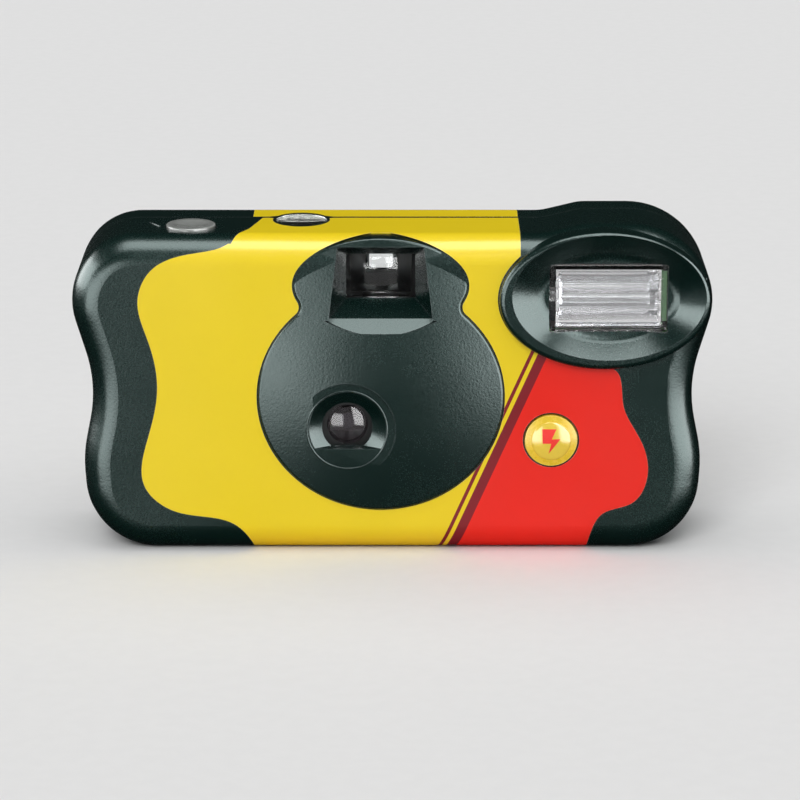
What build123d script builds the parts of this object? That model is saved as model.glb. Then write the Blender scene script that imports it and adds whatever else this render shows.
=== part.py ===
from build123d import *
from math import cos, pi, sin, sqrt
import os

# A flat single-use film camera. X runs across the front with the flash at +X, Y runs from the
# lens to the back, Z is up. The origin is under the middle of the camera, on the resting face.

# Walls and fits
wall = 1.4
frame_wall = 1.1
frame_rib = 1.6
clearance = 0.2
fit = 0.05
overrun = 2.0
seam_gap = 0.1

# Film, cassette and battery, which set the size of the housing
film_width = 35.0
film_thickness = 0.15
film_clear_of_back = 2.0
film_gate_width = 36.0
film_gate_height = 24.0
cassette_radius = 12.5
cassette_height = 42.2
cassette_cap = 1.6
cassette_cap_step = 0.3
cassette_lip_length = 3.2
cassette_lip_height = 2.2
spool_radius = 5.6
spool_stub_radius = 3.4
spool_stub = 4.6
supply_roll_radius = 8.3
supply_core_radius = 4.6
supply_flange_radius = 9.4
supply_flange = 1.1
supply_stub_radius = 2.0
battery_radius = 7.1
battery_length = 49.2
battery_nub_radius = 2.7
battery_nub = 1.2
battery_ring = 0.4
battery_slack = 1.2
contact_thickness = 0.4
contact_width = 9.0
contact_corner = 1.8
contact_gap = 0.1

# Film advance
wheel_radius = 13.2
wheel_thickness = 3.6
wheel_teeth = 44
wheel_tooth_depth = 0.7
wheel_hub_radius = 4.6
wheel_hub_rise = 2.0
wheel_key = 2.2
sprocket_from_pocket = 7.8
sprocket_teeth = 8
sprocket_radius = 6.0
sprocket_tooth = 0.9
sprocket_tooth_width = 1.6
sprocket_height = 4.6
sprocket_shaft_radius = 1.5
sprocket_cam_radius = 2.2
sprocket_cam_height = 2.4

# Housing
grip_end_room = 6.0
flash_end_room = 13.0
floor_room = 1.1
flash_rise = 1.7
front_relief = 2.0
front_round = 5.0
rear_round = 4.2
seam_from_front = 18.0

# Printed labels
label_thickness = 0.3
label_left = -25.6
label_right = 23.1
label_corner = 3.0
label_seam_margin = 0.5
rear_label_foot = 9.0

# Lens panel and its finder hood
panel_from_lens = 6.1
panel_z = 29.3
panel_half_width = 22.3
panel_half_height = 21.0
panel_dome_radius = 152.0
panel_gap = 0.25
panel_edge_round = 0.5
hood_half_width = 15.75
hood_half_height = 8.6
hood_drop = 8.8
hood_notch_round = 2.0

# Viewfinder
finder_drop = 8.2
finder_lens_width = 12.8
finder_lens_height = 8.4
finder_lens_thickness = 3.0
finder_lens_round = 1.2
finder_hollow_radius = 14.7
finder_depth = 6.0
finder_mouth_above = 6.4
finder_mouth_below = 6.8
finder_mouth_top_width = 15.6
finder_mouth_low_width = 18.8
finder_step_depth = 5.25
finder_shelf_drop = 2.6
finder_shelf_width = 20.5
finder_tube_wall = 0.8
finder_tube_step = 1.2
eyepiece_width = 7.0
eyepiece_height = 4.8
eyepiece_round = 1.2
eyepiece_flange = 1.5
eyepiece_flange_thickness = 0.7

# Taking lens
lens_radius = 4.3
lens_edge = 0.9
lens_front_radius = 9.0
lens_back_radius = 14.0
lens_mouth_radius = 7.1
lens_land_radius = 8.8
lens_land_depth = 0.25
lens_throat_radius = 4.6
lens_recess_depth = 2.4
lens_flat_drop = 3.5
lens_ring_width = 1.1
lens_ring_thickness = 0.7
seat_half_width = 6.4
seat_thickness = 1.0
stop_radius = 1.4

# Counter
counter_from_pocket = 11.1
counter_y = 2.8
counter_window_radius = 4.65
counter_window_crown = 0.3
counter_surround_beside = 0.6
counter_surround_before = 1.3
counter_surround_reach = 7.0
counter_surround_depth = 3.2
counter_dial_radius = 6.2
counter_dial_thickness = 0.9
counter_teeth = 30
counter_post_radius = 1.2

# Release button
button_from_pocket = 3.85
button_y = -3.4
button_half_width = 4.5
button_half_depth = 4.7
button_proud = 0.6
button_dish = 0.4
button_dish_radius = 14.0
button_travel = 1.5
button_skirt = 2.2
button_flange = 0.7
button_flange_thickness = 0.8
arm_thickness = 0.9
arm_width = 5.0
arm_corner = 1.25
arm_over_hub = 0.8

# Flash
flash_from_end = 19.9
flash_drop = 11.3
flash_half_width = 19.05
flash_half_height = 12.7
flash_housing_left = 0.75
flash_housing_up = 0.05
flash_mouth_half_width = 17.5
flash_mouth_half_height = 11.65
flash_mouth_up = 0.8
flash_dish_depth = 3.6
flash_floor_half_width = 12.3
flash_floor_half_height = 7.7
flash_floor_round = 2.4
flash_rim_round = 0.9
flash_window_width = 21.0
flash_window_height = 12.2
flash_window_thickness = 1.0
flash_window_skirt = 1.4
flash_window_wall = 0.8
flash_window_round = 0.5
flash_ribs = 5
flash_rib_depth = 0.6
reflector_wall = 0.4
reflector_depth = 5.4
reflector_back_height = 3.8
tube_radius = 1.3
tube_overhang = 2.2
tube_band_radius = 1.7
tube_depth_share = 0.62
charge_from_end = 30.1
charge_below_lens = 2.3
charge_radius = 4.75
charge_proud = 0.7
charge_travel = 1.0
charge_stem_radius = 1.6
charge_flange = 0.9
charge_flange_thickness = 0.8
charge_crown_radius = 30.0

# Flash circuit
board_from_finder = 4.3
board_from_end = 6.4
board_low = 17.3
board_from_front = 5.3
board_thickness = 1.2
board_tab_width = 7.4
capacitor_from_supply = 7.8
capacitor_radius = 4.4
capacitor_length = 24.0
capacitor_low = 17.6
capacitor_edge_round = 0.7
capacitor_groove_rise = 3.0
transformer_width = 6.2
transformer_depth = 6.4
transformer_height = 9.5
transformer_core = 1.6
coil_length = 6.0
coil_radius = 2.0
coil_flange = 1.1
coil_low = 42.4
lamp_radius = 1.9
lamp_length = 6.0
lamp_edge_round = 0.6
pipe_from_board_end = 2.4
pipe_radius = 1.6
pipe_head_radius = 2.2
pipe_head = 1.0
switch_width = 3.0
switch_thickness = 0.25
switch_length = 12.0
switch_stand = 0.5

# Inner frame
light_box_front_width = 12.0
light_box_front_height = 9.4
shutter_plate_from_front = 5.9
shutter_plate_thickness = 1.1
shutter_plate_half_width = 11.5
shutter_plate_low = 17.2
deck_from_wheel = 3.5
deck_thickness = 1.2

# Shutter
blade_thickness = 0.35
blade_radius = 3.4
blade_pivot_left = 4.3
blade_pivot_up = 9.8
blade_tail_left = 4.0
blade_tail_up = 13.2
blade_arm_width = 2.2
blade_pin_radius = 0.8
blade_gap = 0.15
striker_right_of_sprocket = 2.5
striker_y = -1.8
striker_reach = 5.0
striker_side = 4.2
striker_width = 2.0
striker_thickness = 1.0
striker_post_radius = 1.1
spring_wire_radius = 0.28
spring_coil_radius = 1.75
spring_turns = 4
spring_pitch = 0.75
lock_left_of_sprocket = 3.0
lock_y = -5.4
lock_tip_left = 3.0
lock_tip_back = 4.0
lock_width = 1.6
lock_thickness = 1.1
lock_post_radius = 0.8

# Thumb hollow in the back
thumb_hollow_width = 24.0
thumb_hollow_depth = 3.0
thumb_hollow_radius = 9.0
thumb_hollow_rise = 2.2
thumb_hollow_round = 2.5
wheel_slot_margin = 0.4

# Corners of the housing's front outline, as shares of its half width and height, from the base up
side_shares = ((0.940, 0.0), (0.960, 0.297), (0.914, 0.520), (1.004, 0.815))
side_round_shares = (0.221, 0.407, 0.441, 0.221)
top_round_shares = (0.195, 0.170, 0.170, 0.255)
shoulder_lean_share = 0.58
rise_foot_share = 0.466
rise_top_share = 0.585

# Label edge on the grip side and on the flash side, as shares of the half width and height
grip_edge_shares = (
    (-0.434, -0.05), (-0.440, 0.035), (-0.482, 0.085), (-0.675, 0.132), (-0.768, 0.215),
    (-0.752, 0.375), (-0.723, 0.535), (-0.750, 0.680), (-0.779, 0.800), (-0.738, 0.898),
    (-0.625, 0.948), (-0.500, 0.978), (-0.455, 1.05),
)
foot_edge_shares = (
    (0.607, -0.05), (0.615, 0.060), (0.652, 0.124), (0.742, 0.158), (0.790, 0.250),
    (0.762, 0.370), (0.712, 0.470), (0.704, 0.545), (0.692, 0.578), (0.660, 0.592),
)

# Label edge over the top face, as shares of the half width and half depth
shoulder_edge_shares = ((-0.400, 0.300), (-0.441, -0.426), (-0.492, -0.887))

# Size of the housing
battery_bay = battery_length + battery_nub + 2 * (contact_thickness + contact_gap) + battery_slack
film_bay = battery_bay + 2 * frame_wall
pocket_room = grip_end_room + 2 * cassette_radius + clearance
supply_room = flash_end_room + 2 * supply_flange_radius + clearance
body_width = pocket_room + film_bay + supply_room
body_depth = 2 * (cassette_radius + clearance + wall)
wheel_stack = clearance + cassette_cap + wheel_thickness + wheel_hub_rise
button_stack = arm_over_hub + button_travel + arm_thickness + button_skirt
body_height = 2 * wall + floor_room + cassette_height + wheel_stack + button_stack
half_width = body_width / 2
half_depth = body_depth / 2

# Depths, from the lens side to the back
peak_y = -(body_depth + front_relief) / 2
front_y = peak_y + front_relief
rear_y = front_y + body_depth
middle_y = (front_y + rear_y) / 2
ahead_y = peak_y - overrun
behind_y = rear_y + overrun
seam_y = front_y + seam_from_front
inner_front = front_y + wall
inner_rear = rear_y - wall
film_y = inner_rear - film_clear_of_back
pocket_y = middle_y
supply_y = film_y - film_thickness - supply_roll_radius
sprocket_y = film_y - clearance - sprocket_tooth - sprocket_radius
finder_lens_y = front_y + finder_depth
recess_floor_y = peak_y + lens_land_depth + lens_recess_depth
dish_floor_y = peak_y + flash_dish_depth
tube_y = dish_floor_y + tube_depth_share * reflector_depth
gate_front_y = film_y - film_thickness - clearance / 2 - frame_wall
battery_y = inner_front + clearance + battery_radius
board_y = front_y + board_from_front
board_back_y = board_y + board_thickness
shutter_plate_y = front_y + shutter_plate_from_front
deck_front_y = shutter_plate_y + 2 * shutter_plate_thickness
deck_right_front_y = board_back_y + 2 * coil_radius + frame_wall
seat_back_y = shutter_plate_y - 2 * blade_gap - blade_thickness
lens_back_y = seat_back_y - seat_thickness
lens_front_y = lens_back_y - lens_edge

# Places across the front
pocket_x = grip_end_room + cassette_radius - half_width
supply_x = half_width - flash_end_room - supply_flange_radius
pocket_wall_x = pocket_x + cassette_radius + clearance
supply_wall_x = supply_x - supply_flange_radius - clearance
lens_x = pocket_wall_x + frame_rib + film_gate_width / 2
panel_x = lens_x + panel_from_lens
sprocket_x = pocket_wall_x + sprocket_from_pocket
counter_x = pocket_wall_x + counter_from_pocket
button_x = pocket_x + button_from_pocket
arm_right = counter_x - counter_dial_radius - clearance - fit
striker_x = sprocket_x + striker_right_of_sprocket
lock_x = sprocket_x - lock_left_of_sprocket
blade_pivot_x = lens_x - blade_pivot_left
flash_x = half_width - flash_from_end
charge_x = half_width - charge_from_end
board_left = panel_x + finder_mouth_low_width / 2 + wall + board_from_finder
board_right = half_width - board_from_end
pipe_x = board_left + pipe_from_board_end
capacitor_x = supply_wall_x - capacitor_from_supply
battery_left = pocket_wall_x + frame_wall + clearance + contact_thickness + contact_gap
battery_right = battery_left + battery_length + battery_nub

# Heights
inner_floor = wall
inner_roof = body_height - wall
flash_roof = body_height + flash_rise
cassette_low = inner_floor + floor_room
cassette_high = cassette_low + cassette_height
lens_z = cassette_low + cassette_height / 2
film_low = lens_z - film_width / 2
film_high = lens_z + film_width / 2
wheel_low = cassette_high + clearance + cassette_cap
wheel_high = wheel_low + wheel_thickness
deck_z = wheel_low - deck_from_wheel
deck_top = deck_z + deck_thickness
sprocket_low = film_high - sprocket_height + 2 * clearance
lock_low = wheel_low + lock_thickness
striker_post_high = deck_top + clearance + striker_thickness + (spring_turns + 1) * spring_pitch
counter_z = inner_roof - counter_dial_thickness - 2 * clearance
counter_bore_low = inner_roof - overrun
thumb_hollow_z = wheel_low + wheel_thickness / 2 + thumb_hollow_rise
hood_z = body_height - hood_drop
finder_z = body_height - finder_drop
finder_mouth_top = finder_z + finder_mouth_above
finder_mouth_low = finder_z - finder_mouth_below
flash_z = body_height - flash_drop
charge_z = lens_z - charge_below_lens
board_high = flash_z - flash_window_height / 2 - 2 * clearance
battery_z = inner_floor + clearance + battery_radius
blade_pivot_z = lens_z + blade_pivot_up

# Lens bowls
lens_crown = lens_front_radius - sqrt(lens_front_radius ** 2 - lens_radius ** 2)
lens_back_reach = lens_radius - lens_ring_width / 2
lens_hollow = lens_back_radius - sqrt(lens_back_radius ** 2 - lens_back_reach ** 2)
finder_half_diagonal = sqrt(finder_lens_width ** 2 + finder_lens_height ** 2) / 2
finder_hollow = finder_hollow_radius - sqrt(finder_hollow_radius ** 2 - finder_half_diagonal ** 2)


def between(sketch, front, back):
    """A front outline drawn in X and Z, made solid from one depth to another."""
    return Pos(0, back, 0) * extrude(Plane.XZ * sketch, back - front)


def upright(sketch, low, high):
    """A plan drawn in X and Y, made solid from one height to another."""
    return Pos(0, 0, low) * extrude(sketch, high - low)


def across(sketch, left, right):
    """A side view drawn in Y and Z, made solid from one side to another."""
    return Pos(left, 0, 0) * extrude(Plane.YZ * sketch, right - left)


def block(left, right, front, back, low, high):
    plan = Pos((left + right) / 2, (front + back) / 2) * Rectangle(right - left, back - front)
    return upright(plan, low, high)


def round_bar(x, z, radius, front, back):
    return between(Pos(x, z) * Circle(radius), front, back)


def round_post(x, y, radius, low, high):
    return upright(Pos(x, y) * Circle(radius), low, high)


def smooth_edge(shares):
    return Spline(*[(x * half_width, z * body_height) for x, z in shares])


# Housing

def body_outline():
    """The camera's front outline: a pinched waist and a raised corner over the flash."""
    lean_from_x = side_shares[-1][0] * half_width
    lean_from_z = side_shares[-1][1] * body_height
    grip_top_x = lean_from_x - (body_height - lean_from_z) * shoulder_lean_share
    flash_top_x = lean_from_x - (flash_roof - lean_from_z) * shoulder_lean_share
    side = [(x * half_width, z * body_height) for x, z in side_shares]
    side_rounds = [share * body_height for share in side_round_shares]
    left = [(-x, z) for x, z in side]
    top = [
        (-grip_top_x, body_height),
        (rise_foot_share * half_width, body_height),
        (rise_top_share * half_width, flash_roof),
        (flash_top_x, flash_roof),
    ]
    top_rounds = [share * body_height for share in top_round_shares]
    return FilletPolyline(
        *left, *top, *side[::-1],
        radius=side_rounds + top_rounds + side_rounds[::-1],
        close=True,
    )


def body_form(inset):
    """The whole pebble, drawn in by an inset, with rounded front and back edges."""
    outline = make_face(body_outline().edges())
    if inset > 0:
        outline = offset(outline, -inset)
    form = between(outline, front_y + inset, rear_y - inset)
    form = fillet(form.faces().sort_by(Axis.Y)[0].edges(), front_round - inset)
    return fillet(form.faces().sort_by(Axis.Y)[-1].edges(), rear_round - inset)


def panel_prism(grow=0):
    """The round lens panel with the finder hood arching out of its top and a soft notch between."""
    disc = Rot(0, 0, 90) * Ellipse(panel_half_height + grow, panel_half_width + grow)
    hood = Rot(0, 0, -90) * Ellipse(hood_half_height + grow, hood_half_width + grow)
    outline = Pos(panel_x, panel_z) * disc + Pos(panel_x, hood_z) * hood
    prism = between(outline, ahead_y, front_y + front_round)
    return fillet(prism.edges().filter_by(Axis.Y), hood_notch_round - grow)


def panel_form():
    """The panel under a shallow dome that leans away from the lens."""
    dome = Pos(panel_x, peak_y + panel_dome_radius, panel_z) * Sphere(panel_dome_radius)
    form = panel_prism() & dome
    return fillet(form.faces().sort_by(Axis.Y)[0].edges(), panel_edge_round)


def flash_outline(grow=0):
    plan = Ellipse(flash_half_width + grow, flash_half_height + grow)
    return Pos(flash_x - flash_housing_left, flash_z + flash_housing_up) * plan


def flash_form():
    form = between(flash_outline(), peak_y, front_y + front_round)
    return fillet(form.faces().sort_by(Axis.Y)[0].edges(), flash_rim_round)


def flash_dish():
    """A bowl that narrows from the lip to the floor round the flash window."""
    mouth = Ellipse(flash_mouth_half_width, flash_mouth_half_height)
    floor = Ellipse(flash_floor_half_width, flash_floor_half_height)
    near = Plane.XZ.offset(-peak_y) * Pos(flash_x, flash_z + flash_mouth_up) * mouth
    far = Plane.XZ.offset(-dish_floor_y) * Pos(flash_x, flash_z) * floor
    bowl = loft([near, far], ruled=True)
    return fillet(bowl.faces().sort_by(Axis.Y)[-1].edges(), flash_floor_round)


def label_field():
    """The printed field seen from the front, with waving sides and open ends above and below."""
    high = body_height * grip_edge_shares[-1][1]
    grip_side = smooth_edge(grip_edge_shares)
    foot_side = smooth_edge(foot_edge_shares)
    flash_side = Polyline(grip_side @ 1, (label_right, high), (label_right, flash_z), foot_side @ 1)
    return make_face([grip_side, flash_side, foot_side, Line(foot_side @ 0, grip_side @ 0)])


def shoulder_cut():
    """The part of the top face beside the label's slanting edge, on the grip side."""
    edge = [(x * half_width, middle_y + y * half_depth) for x, y in shoulder_edge_shares]
    far = [(-half_width, edge[-1][1]), (-half_width, edge[0][1])]
    plan = make_face(Polyline(*edge, *far, close=True))
    return upright(plan, body_height - front_round, flash_roof)


def counter_surround_plan():
    """The bare eye-shaped border round the counter window, drawn out along the seam."""
    border_width = counter_window_radius + counter_surround_beside
    border_depth = counter_window_radius + counter_surround_before
    ring = Pos(counter_x, counter_y) * Ellipse(border_width, border_depth)
    reach, depth = counter_surround_reach, counter_surround_depth
    corners = [(-reach, 0), (0, -depth), (reach, 0), (0, depth)]
    return ring + Pos(counter_x, seam_y) * make_face(Polyline(*corners, close=True))


def rear_label_field():
    """A plain field on the back that comes over the top edge as a straight strip."""
    high = body_height + overrun
    width = label_right - label_left
    field = Rectangle(width, high - rear_label_foot, align=(Align.MIN, Align.MIN))
    field = fillet(field.vertices().sort_by(Axis.Y)[:2], label_corner)
    return Pos(label_left, rear_label_foot) * field


def finder_frame(width, height, corner, y, thickness):
    """A finder lens blank, standing upright across the line of sight."""
    outline = Pos(panel_x, finder_z) * RectangleRounded(width, height, corner)
    return between(outline, y, y + thickness)


def finder_mouth():
    """The hood's recess: flared sides, a curved shelf in front and a ramp to the lens."""
    step_y = finder_lens_y - finder_step_depth
    top_half = finder_mouth_top_width / 2
    low_half = finder_mouth_low_width / 2
    flare = [(-top_half, finder_mouth_top), (top_half, finder_mouth_top)]
    flare += [(low_half, finder_mouth_low), (-low_half, finder_mouth_low)]
    mouth = Pos(panel_x, 0) * make_face(Polyline(*flare, close=True))
    half_lens = finder_lens_width / 2 - clearance
    lens_top = finder_z + finder_lens_height / 2 - clearance
    lens_low = finder_z - finder_lens_height / 2 + clearance
    sight = [(-half_lens, lens_top), (half_lens, lens_top)]
    sight += [(half_lens, lens_low), (-half_lens, lens_low)]
    sight = Pos(panel_x, 0) * make_face(Polyline(*sight, close=True))
    near = Plane.XZ.offset(-step_y) * mouth
    far = Plane.XZ.offset(-finder_lens_y) * sight
    ramp = loft([near, far], ruled=True)
    throat = between(sight, finder_lens_y - clearance, finder_lens_y + overrun)
    half_shelf = finder_shelf_width / 2
    shelf_low = finder_mouth_low - finder_shelf_drop
    shelf_ends = [(-half_shelf, finder_mouth_low), (half_shelf, finder_mouth_low)]
    shelf_arc = ThreePointArc(shelf_ends[0], (0, shelf_low), shelf_ends[1])
    shelf = Pos(panel_x, 0) * make_face([shelf_arc, Line(shelf_ends[1], shelf_ends[0])])
    porch = between(mouth + shelf, peak_y - overrun, step_y)
    slope = [(peak_y - overrun, shelf_low - overrun), (peak_y - overrun, shelf_low)]
    slope += [(peak_y + panel_gap, shelf_low), (step_y, finder_mouth_low)]
    slope += [(step_y, shelf_low - overrun)]
    ledge = across(make_face(Polyline(*slope, close=True)), -half_width, half_width)
    return ramp + throat + (porch - ledge)


def lens_mouth():
    """A cone down to the taking lens with one flat across its lower side."""
    rim_y = peak_y + 2 * lens_land_depth
    land = round_bar(lens_x, lens_z, lens_land_radius, peak_y - overrun, rim_y)
    wide = Pos(lens_x, lens_z) * Circle(lens_mouth_radius)
    narrow = Pos(lens_x, lens_z) * Circle(lens_throat_radius)
    near = Plane.XZ.offset(-rim_y)
    far = Plane.XZ.offset(-recess_floor_y)
    cone = loft([near * wide, far * narrow], ruled=True)
    flat = block(
        lens_x - lens_mouth_radius, lens_x + lens_mouth_radius, peak_y, inner_front + overrun,
        lens_z - lens_mouth_radius, lens_z - lens_flat_drop,
    )
    throat_y = recess_floor_y - clearance
    throat = round_bar(lens_x, lens_z, lens_throat_radius, throat_y, inner_front + overrun)
    return land + (cone + throat - flat)


def button_plan(grow=0):
    return Pos(button_x, button_y) * Ellipse(button_half_width + grow, button_half_depth + grow)


def thumb_hollow(grow):
    """A trough across the back that leaves the wheel's rim under the thumb."""
    radius = thumb_hollow_radius + grow
    trough_y = rear_y - thumb_hollow_depth + thumb_hollow_radius
    reach = thumb_hollow_width / 2 + grow
    section = Pos(trough_y, thumb_hollow_z) * Circle(radius)
    trough = across(section, pocket_x - reach, pocket_x + reach)
    return fillet(trough.edges().filter_by(GeomType.CIRCLE), thumb_hollow_round + grow)


body = body_form(0)
under_label = body_form(label_thickness)
cavity = body_form(wall)
front_half = block(
    -body_width, body_width, ahead_y, seam_y - seam_gap / 2, -overrun, flash_roof + overrun,
)
rear_half = block(
    -body_width, body_width, seam_y + seam_gap / 2, behind_y, -overrun, flash_roof + overrun,
)
label_skin = body - under_label
front_print = label_skin & between(label_field(), ahead_y, seam_y - label_seam_margin)
front_print -= shoulder_cut()
rear_print = label_skin & between(rear_label_field(), seam_y + label_seam_margin, behind_y)
window_border = upright(counter_surround_plan(), inner_roof, flash_roof)
front_print -= window_border
rear_print -= window_border


def cassette_pocket():
    """A round seat let into the walls and floor, because the shell is as deep as the camera."""
    low = cassette_low - clearance / 2
    radius = cassette_radius + clearance / 2
    return round_post(pocket_x, pocket_y, radius, low, cassette_high + clearance)


def counter_hole(radius):
    return round_post(counter_x, counter_y, radius, counter_bore_low, flash_roof)


def front_cover():
    """The black front moulding with the lens panel and the flash housing in one piece."""
    cover = (body - front_print + panel_form() + flash_form() - cavity) & front_half
    hood_wall = block(
        panel_x - finder_mouth_low_width / 2 - wall, panel_x + finder_mouth_low_width / 2 + wall,
        front_y + wall / 2, finder_lens_y - clearance,
        finder_mouth_low - finder_shelf_drop - wall, inner_roof + wall / 2,
    )
    floor_outline = Ellipse(flash_floor_half_width + wall, flash_floor_half_height + wall)
    floor_outline = Pos(flash_x, flash_z) * floor_outline
    flash_backing = between(floor_outline, front_y + wall / 2, dish_floor_y + wall)
    cover += (hood_wall & under_label) + flash_backing
    cover -= finder_mouth()
    cover -= lens_mouth()
    cover -= flash_dish()
    window = Pos(flash_x, flash_z) * RectangleRounded(
        flash_window_width + 2 * clearance, flash_window_height + 2 * clearance, flash_window_round,
    )
    cover -= between(window, peak_y, dish_floor_y + wall + overrun)
    cover -= round_bar(
        charge_x, charge_z, charge_radius + clearance, front_y - overrun, inner_front + overrun,
    )
    cover -= upright(button_plan(clearance), inner_roof - overrun, flash_roof)
    cover -= counter_hole(counter_window_radius + fit)
    cover -= round_post(
        pocket_x, pocket_y, wheel_radius + clearance, wheel_low - clearance, wheel_high + clearance,
    )
    return cover - cassette_pocket()


def rear_cover():
    """The black back moulding with the thumb hollow, the wheel slot, the eyepiece and film rails."""
    cover = (body - rear_print - cavity) & rear_half
    hollow_zone = block(
        -body_width, body_width, seam_y + overrun, behind_y, cassette_high + clearance, body_height,
    )
    cover += thumb_hollow(wall) & hollow_zone & under_label
    rail_right = lens_x + film_gate_width / 2 + frame_rib
    for rail_z in (film_low + frame_rib, film_high - frame_rib):
        cover += block(
            pocket_wall_x, rail_right, film_y + clearance / 2, inner_rear + wall / 2,
            rail_z - frame_rib / 2, rail_z + frame_rib / 2,
        )
    cover -= thumb_hollow(0)
    slot_reach = thumb_hollow_width / 2 - thumb_hollow_round
    cover -= block(
        pocket_x - slot_reach, pocket_x + slot_reach, seam_y + overrun, behind_y,
        wheel_low - wheel_slot_margin, wheel_high + wheel_slot_margin,
    )
    cover -= finder_frame(
        eyepiece_width + 2 * clearance, eyepiece_height + 2 * clearance, eyepiece_round,
        inner_rear - overrun, wall + 2 * overrun,
    )
    cover -= round_bar(pipe_x, finder_z, pipe_radius + clearance / 2, inner_rear - overrun, behind_y)
    cover -= counter_hole(counter_window_radius + fit)
    return cover - cassette_pocket()


def front_label():
    """The thin printed sheet let into the front, cut out round the panel, flash and button."""
    sheet = front_print - between(flash_outline(panel_gap), ahead_y, front_y + front_round)
    button_gap = charge_radius + 2 * clearance
    sheet -= round_bar(charge_x, charge_z, button_gap, ahead_y, front_y + front_round)
    return sheet - panel_prism(panel_gap)


def rear_label():
    sheet = rear_print - finder_frame(
        eyepiece_width + eyepiece_round, eyepiece_height + eyepiece_round, eyepiece_round,
        inner_rear, 2 * overrun,
    )
    return sheet - round_bar(pipe_x, finder_z, pipe_radius + 2 * clearance, inner_rear, behind_y)


def counter_window():
    """A clear plug with a crowned top that magnifies the number under it."""
    low = counter_z + counter_dial_thickness + clearance
    high = body_height + counter_window_crown
    plug = round_post(counter_x, counter_y, counter_window_radius, low, high)
    chord_square = counter_window_radius ** 2 + counter_window_crown ** 2
    crown_radius = chord_square / (2 * counter_window_crown)
    return plug & Pos(counter_x, counter_y, high - crown_radius) * Sphere(crown_radius)


# Viewfinder

def finder_front_lens():
    """A clear blank with a hollow back, which shrinks the view as in a reversed telescope."""
    lens = finder_frame(
        finder_lens_width, finder_lens_height, finder_lens_round, finder_lens_y, finder_lens_thickness,
    )
    hollow_y = finder_lens_y + finder_lens_thickness - finder_hollow + finder_hollow_radius
    return lens - Pos(panel_x, hollow_y, finder_z) * Sphere(finder_hollow_radius)


def finder_eyepiece():
    """The back lens with a flange that rests against the inside of the cover."""
    plug = finder_frame(
        eyepiece_width, eyepiece_height, eyepiece_round,
        inner_rear - clearance / 2, wall - label_thickness,
    )
    flange = finder_frame(
        eyepiece_width + 2 * eyepiece_flange, eyepiece_height + 2 * eyepiece_flange, eyepiece_round,
        inner_rear - eyepiece_flange_thickness - clearance / 2, eyepiece_flange_thickness,
    )
    return plug + flange


# Inner frame

def light_box():
    """The dark pyramid between the shutter and the film gate."""
    near = Plane.XZ.offset(-(shutter_plate_y + shutter_plate_thickness + clearance / 2))
    far = Plane.XZ.offset(-(gate_front_y + frame_wall))
    small = Pos(lens_x, lens_z) * Rectangle(light_box_front_width, light_box_front_height)
    large = Pos(lens_x, lens_z) * Rectangle(film_gate_width, film_gate_height)
    inside = loft([near * small, far * large], ruled=True)
    outside = loft([near * offset(small, frame_wall), far * offset(large, frame_wall)], ruled=True)
    return outside, inside


def main_frame():
    """Film gate, light box, pocket walls, top deck and finder tunnel in one moulding."""
    outside, inside = light_box()
    gate_left = pocket_wall_x
    gate_right = supply_wall_x
    gate_back_y = gate_front_y + frame_wall
    floor_z = inner_floor + 2 * clearance
    frame = outside
    frame += block(gate_left, gate_right, gate_front_y, gate_back_y, film_low - frame_wall, deck_top)
    wall_front = inner_front + clearance
    frame += block(
        pocket_wall_x, pocket_wall_x + frame_wall, wall_front + front_round, gate_back_y,
        floor_z, deck_top,
    )
    frame += block(
        supply_wall_x - frame_wall, supply_wall_x, supply_y, gate_back_y, floor_z, deck_top,
    )
    deck_right = supply_x + supply_stub_radius + frame_rib
    deck_middle = panel_x + finder_lens_width / 2
    frame += block(gate_left, deck_middle, deck_front_y, gate_back_y, deck_z, deck_top)
    frame += block(gate_left, deck_right, deck_right_front_y, gate_back_y, deck_z, deck_top)
    tunnel_front_y = finder_lens_y + finder_lens_thickness + clearance / 2
    tunnel_back_y = inner_rear - eyepiece_flange_thickness - clearance
    near = Plane.XZ.offset(-tunnel_front_y)
    far = Plane.XZ.offset(-tunnel_back_y)
    wide = Rectangle(finder_lens_width - frame_wall, finder_lens_height - frame_wall)
    wide = Pos(panel_x, finder_z) * wide
    narrow = Rectangle(eyepiece_width + 2 * finder_tube_step, eyepiece_height + 2 * finder_tube_step)
    narrow = Pos(panel_x, finder_z) * narrow
    tunnel = loft([near * wide, far * narrow], ruled=True)
    tunnel_wall = loft(
        [near * offset(wide, finder_tube_wall), far * offset(narrow, finder_tube_wall)], ruled=True,
    )
    foot = block(
        panel_x - eyepiece_width / 2, panel_x + eyepiece_width / 2, tunnel_front_y, gate_back_y,
        deck_top - frame_wall, finder_z - eyepiece_height / 2,
    )
    frame += tunnel_wall + foot
    frame -= tunnel
    frame -= inside
    sprocket_reach = sprocket_radius + sprocket_tooth + clearance
    frame -= block(
        sprocket_x - sprocket_reach, sprocket_x + sprocket_reach, deck_front_y, gate_back_y + overrun,
        sprocket_low - clearance, sprocket_low + sprocket_height + clearance,
    )
    frame -= round_post(
        sprocket_x, sprocket_y, sprocket_shaft_radius + fit, deck_z - overrun, deck_top + overrun,
    )
    frame -= round_post(
        supply_x, supply_y, supply_stub_radius + fit, deck_z - overrun, deck_top + overrun,
    )
    posts = (
        (counter_x, counter_y, counter_post_radius, counter_z + counter_dial_thickness),
        (striker_x, striker_y, striker_post_radius, striker_post_high),
        (lock_x, lock_y, lock_post_radius, lock_low + lock_thickness + clearance),
    )
    frame += block(
        pocket_wall_x, lock_x + lock_width, lock_y - lock_width, deck_front_y + overrun,
        deck_z, deck_top,
    )
    for x, y, radius, high in posts:
        frame += round_post(x, y, radius, deck_top - fit, high)
    return frame


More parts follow.
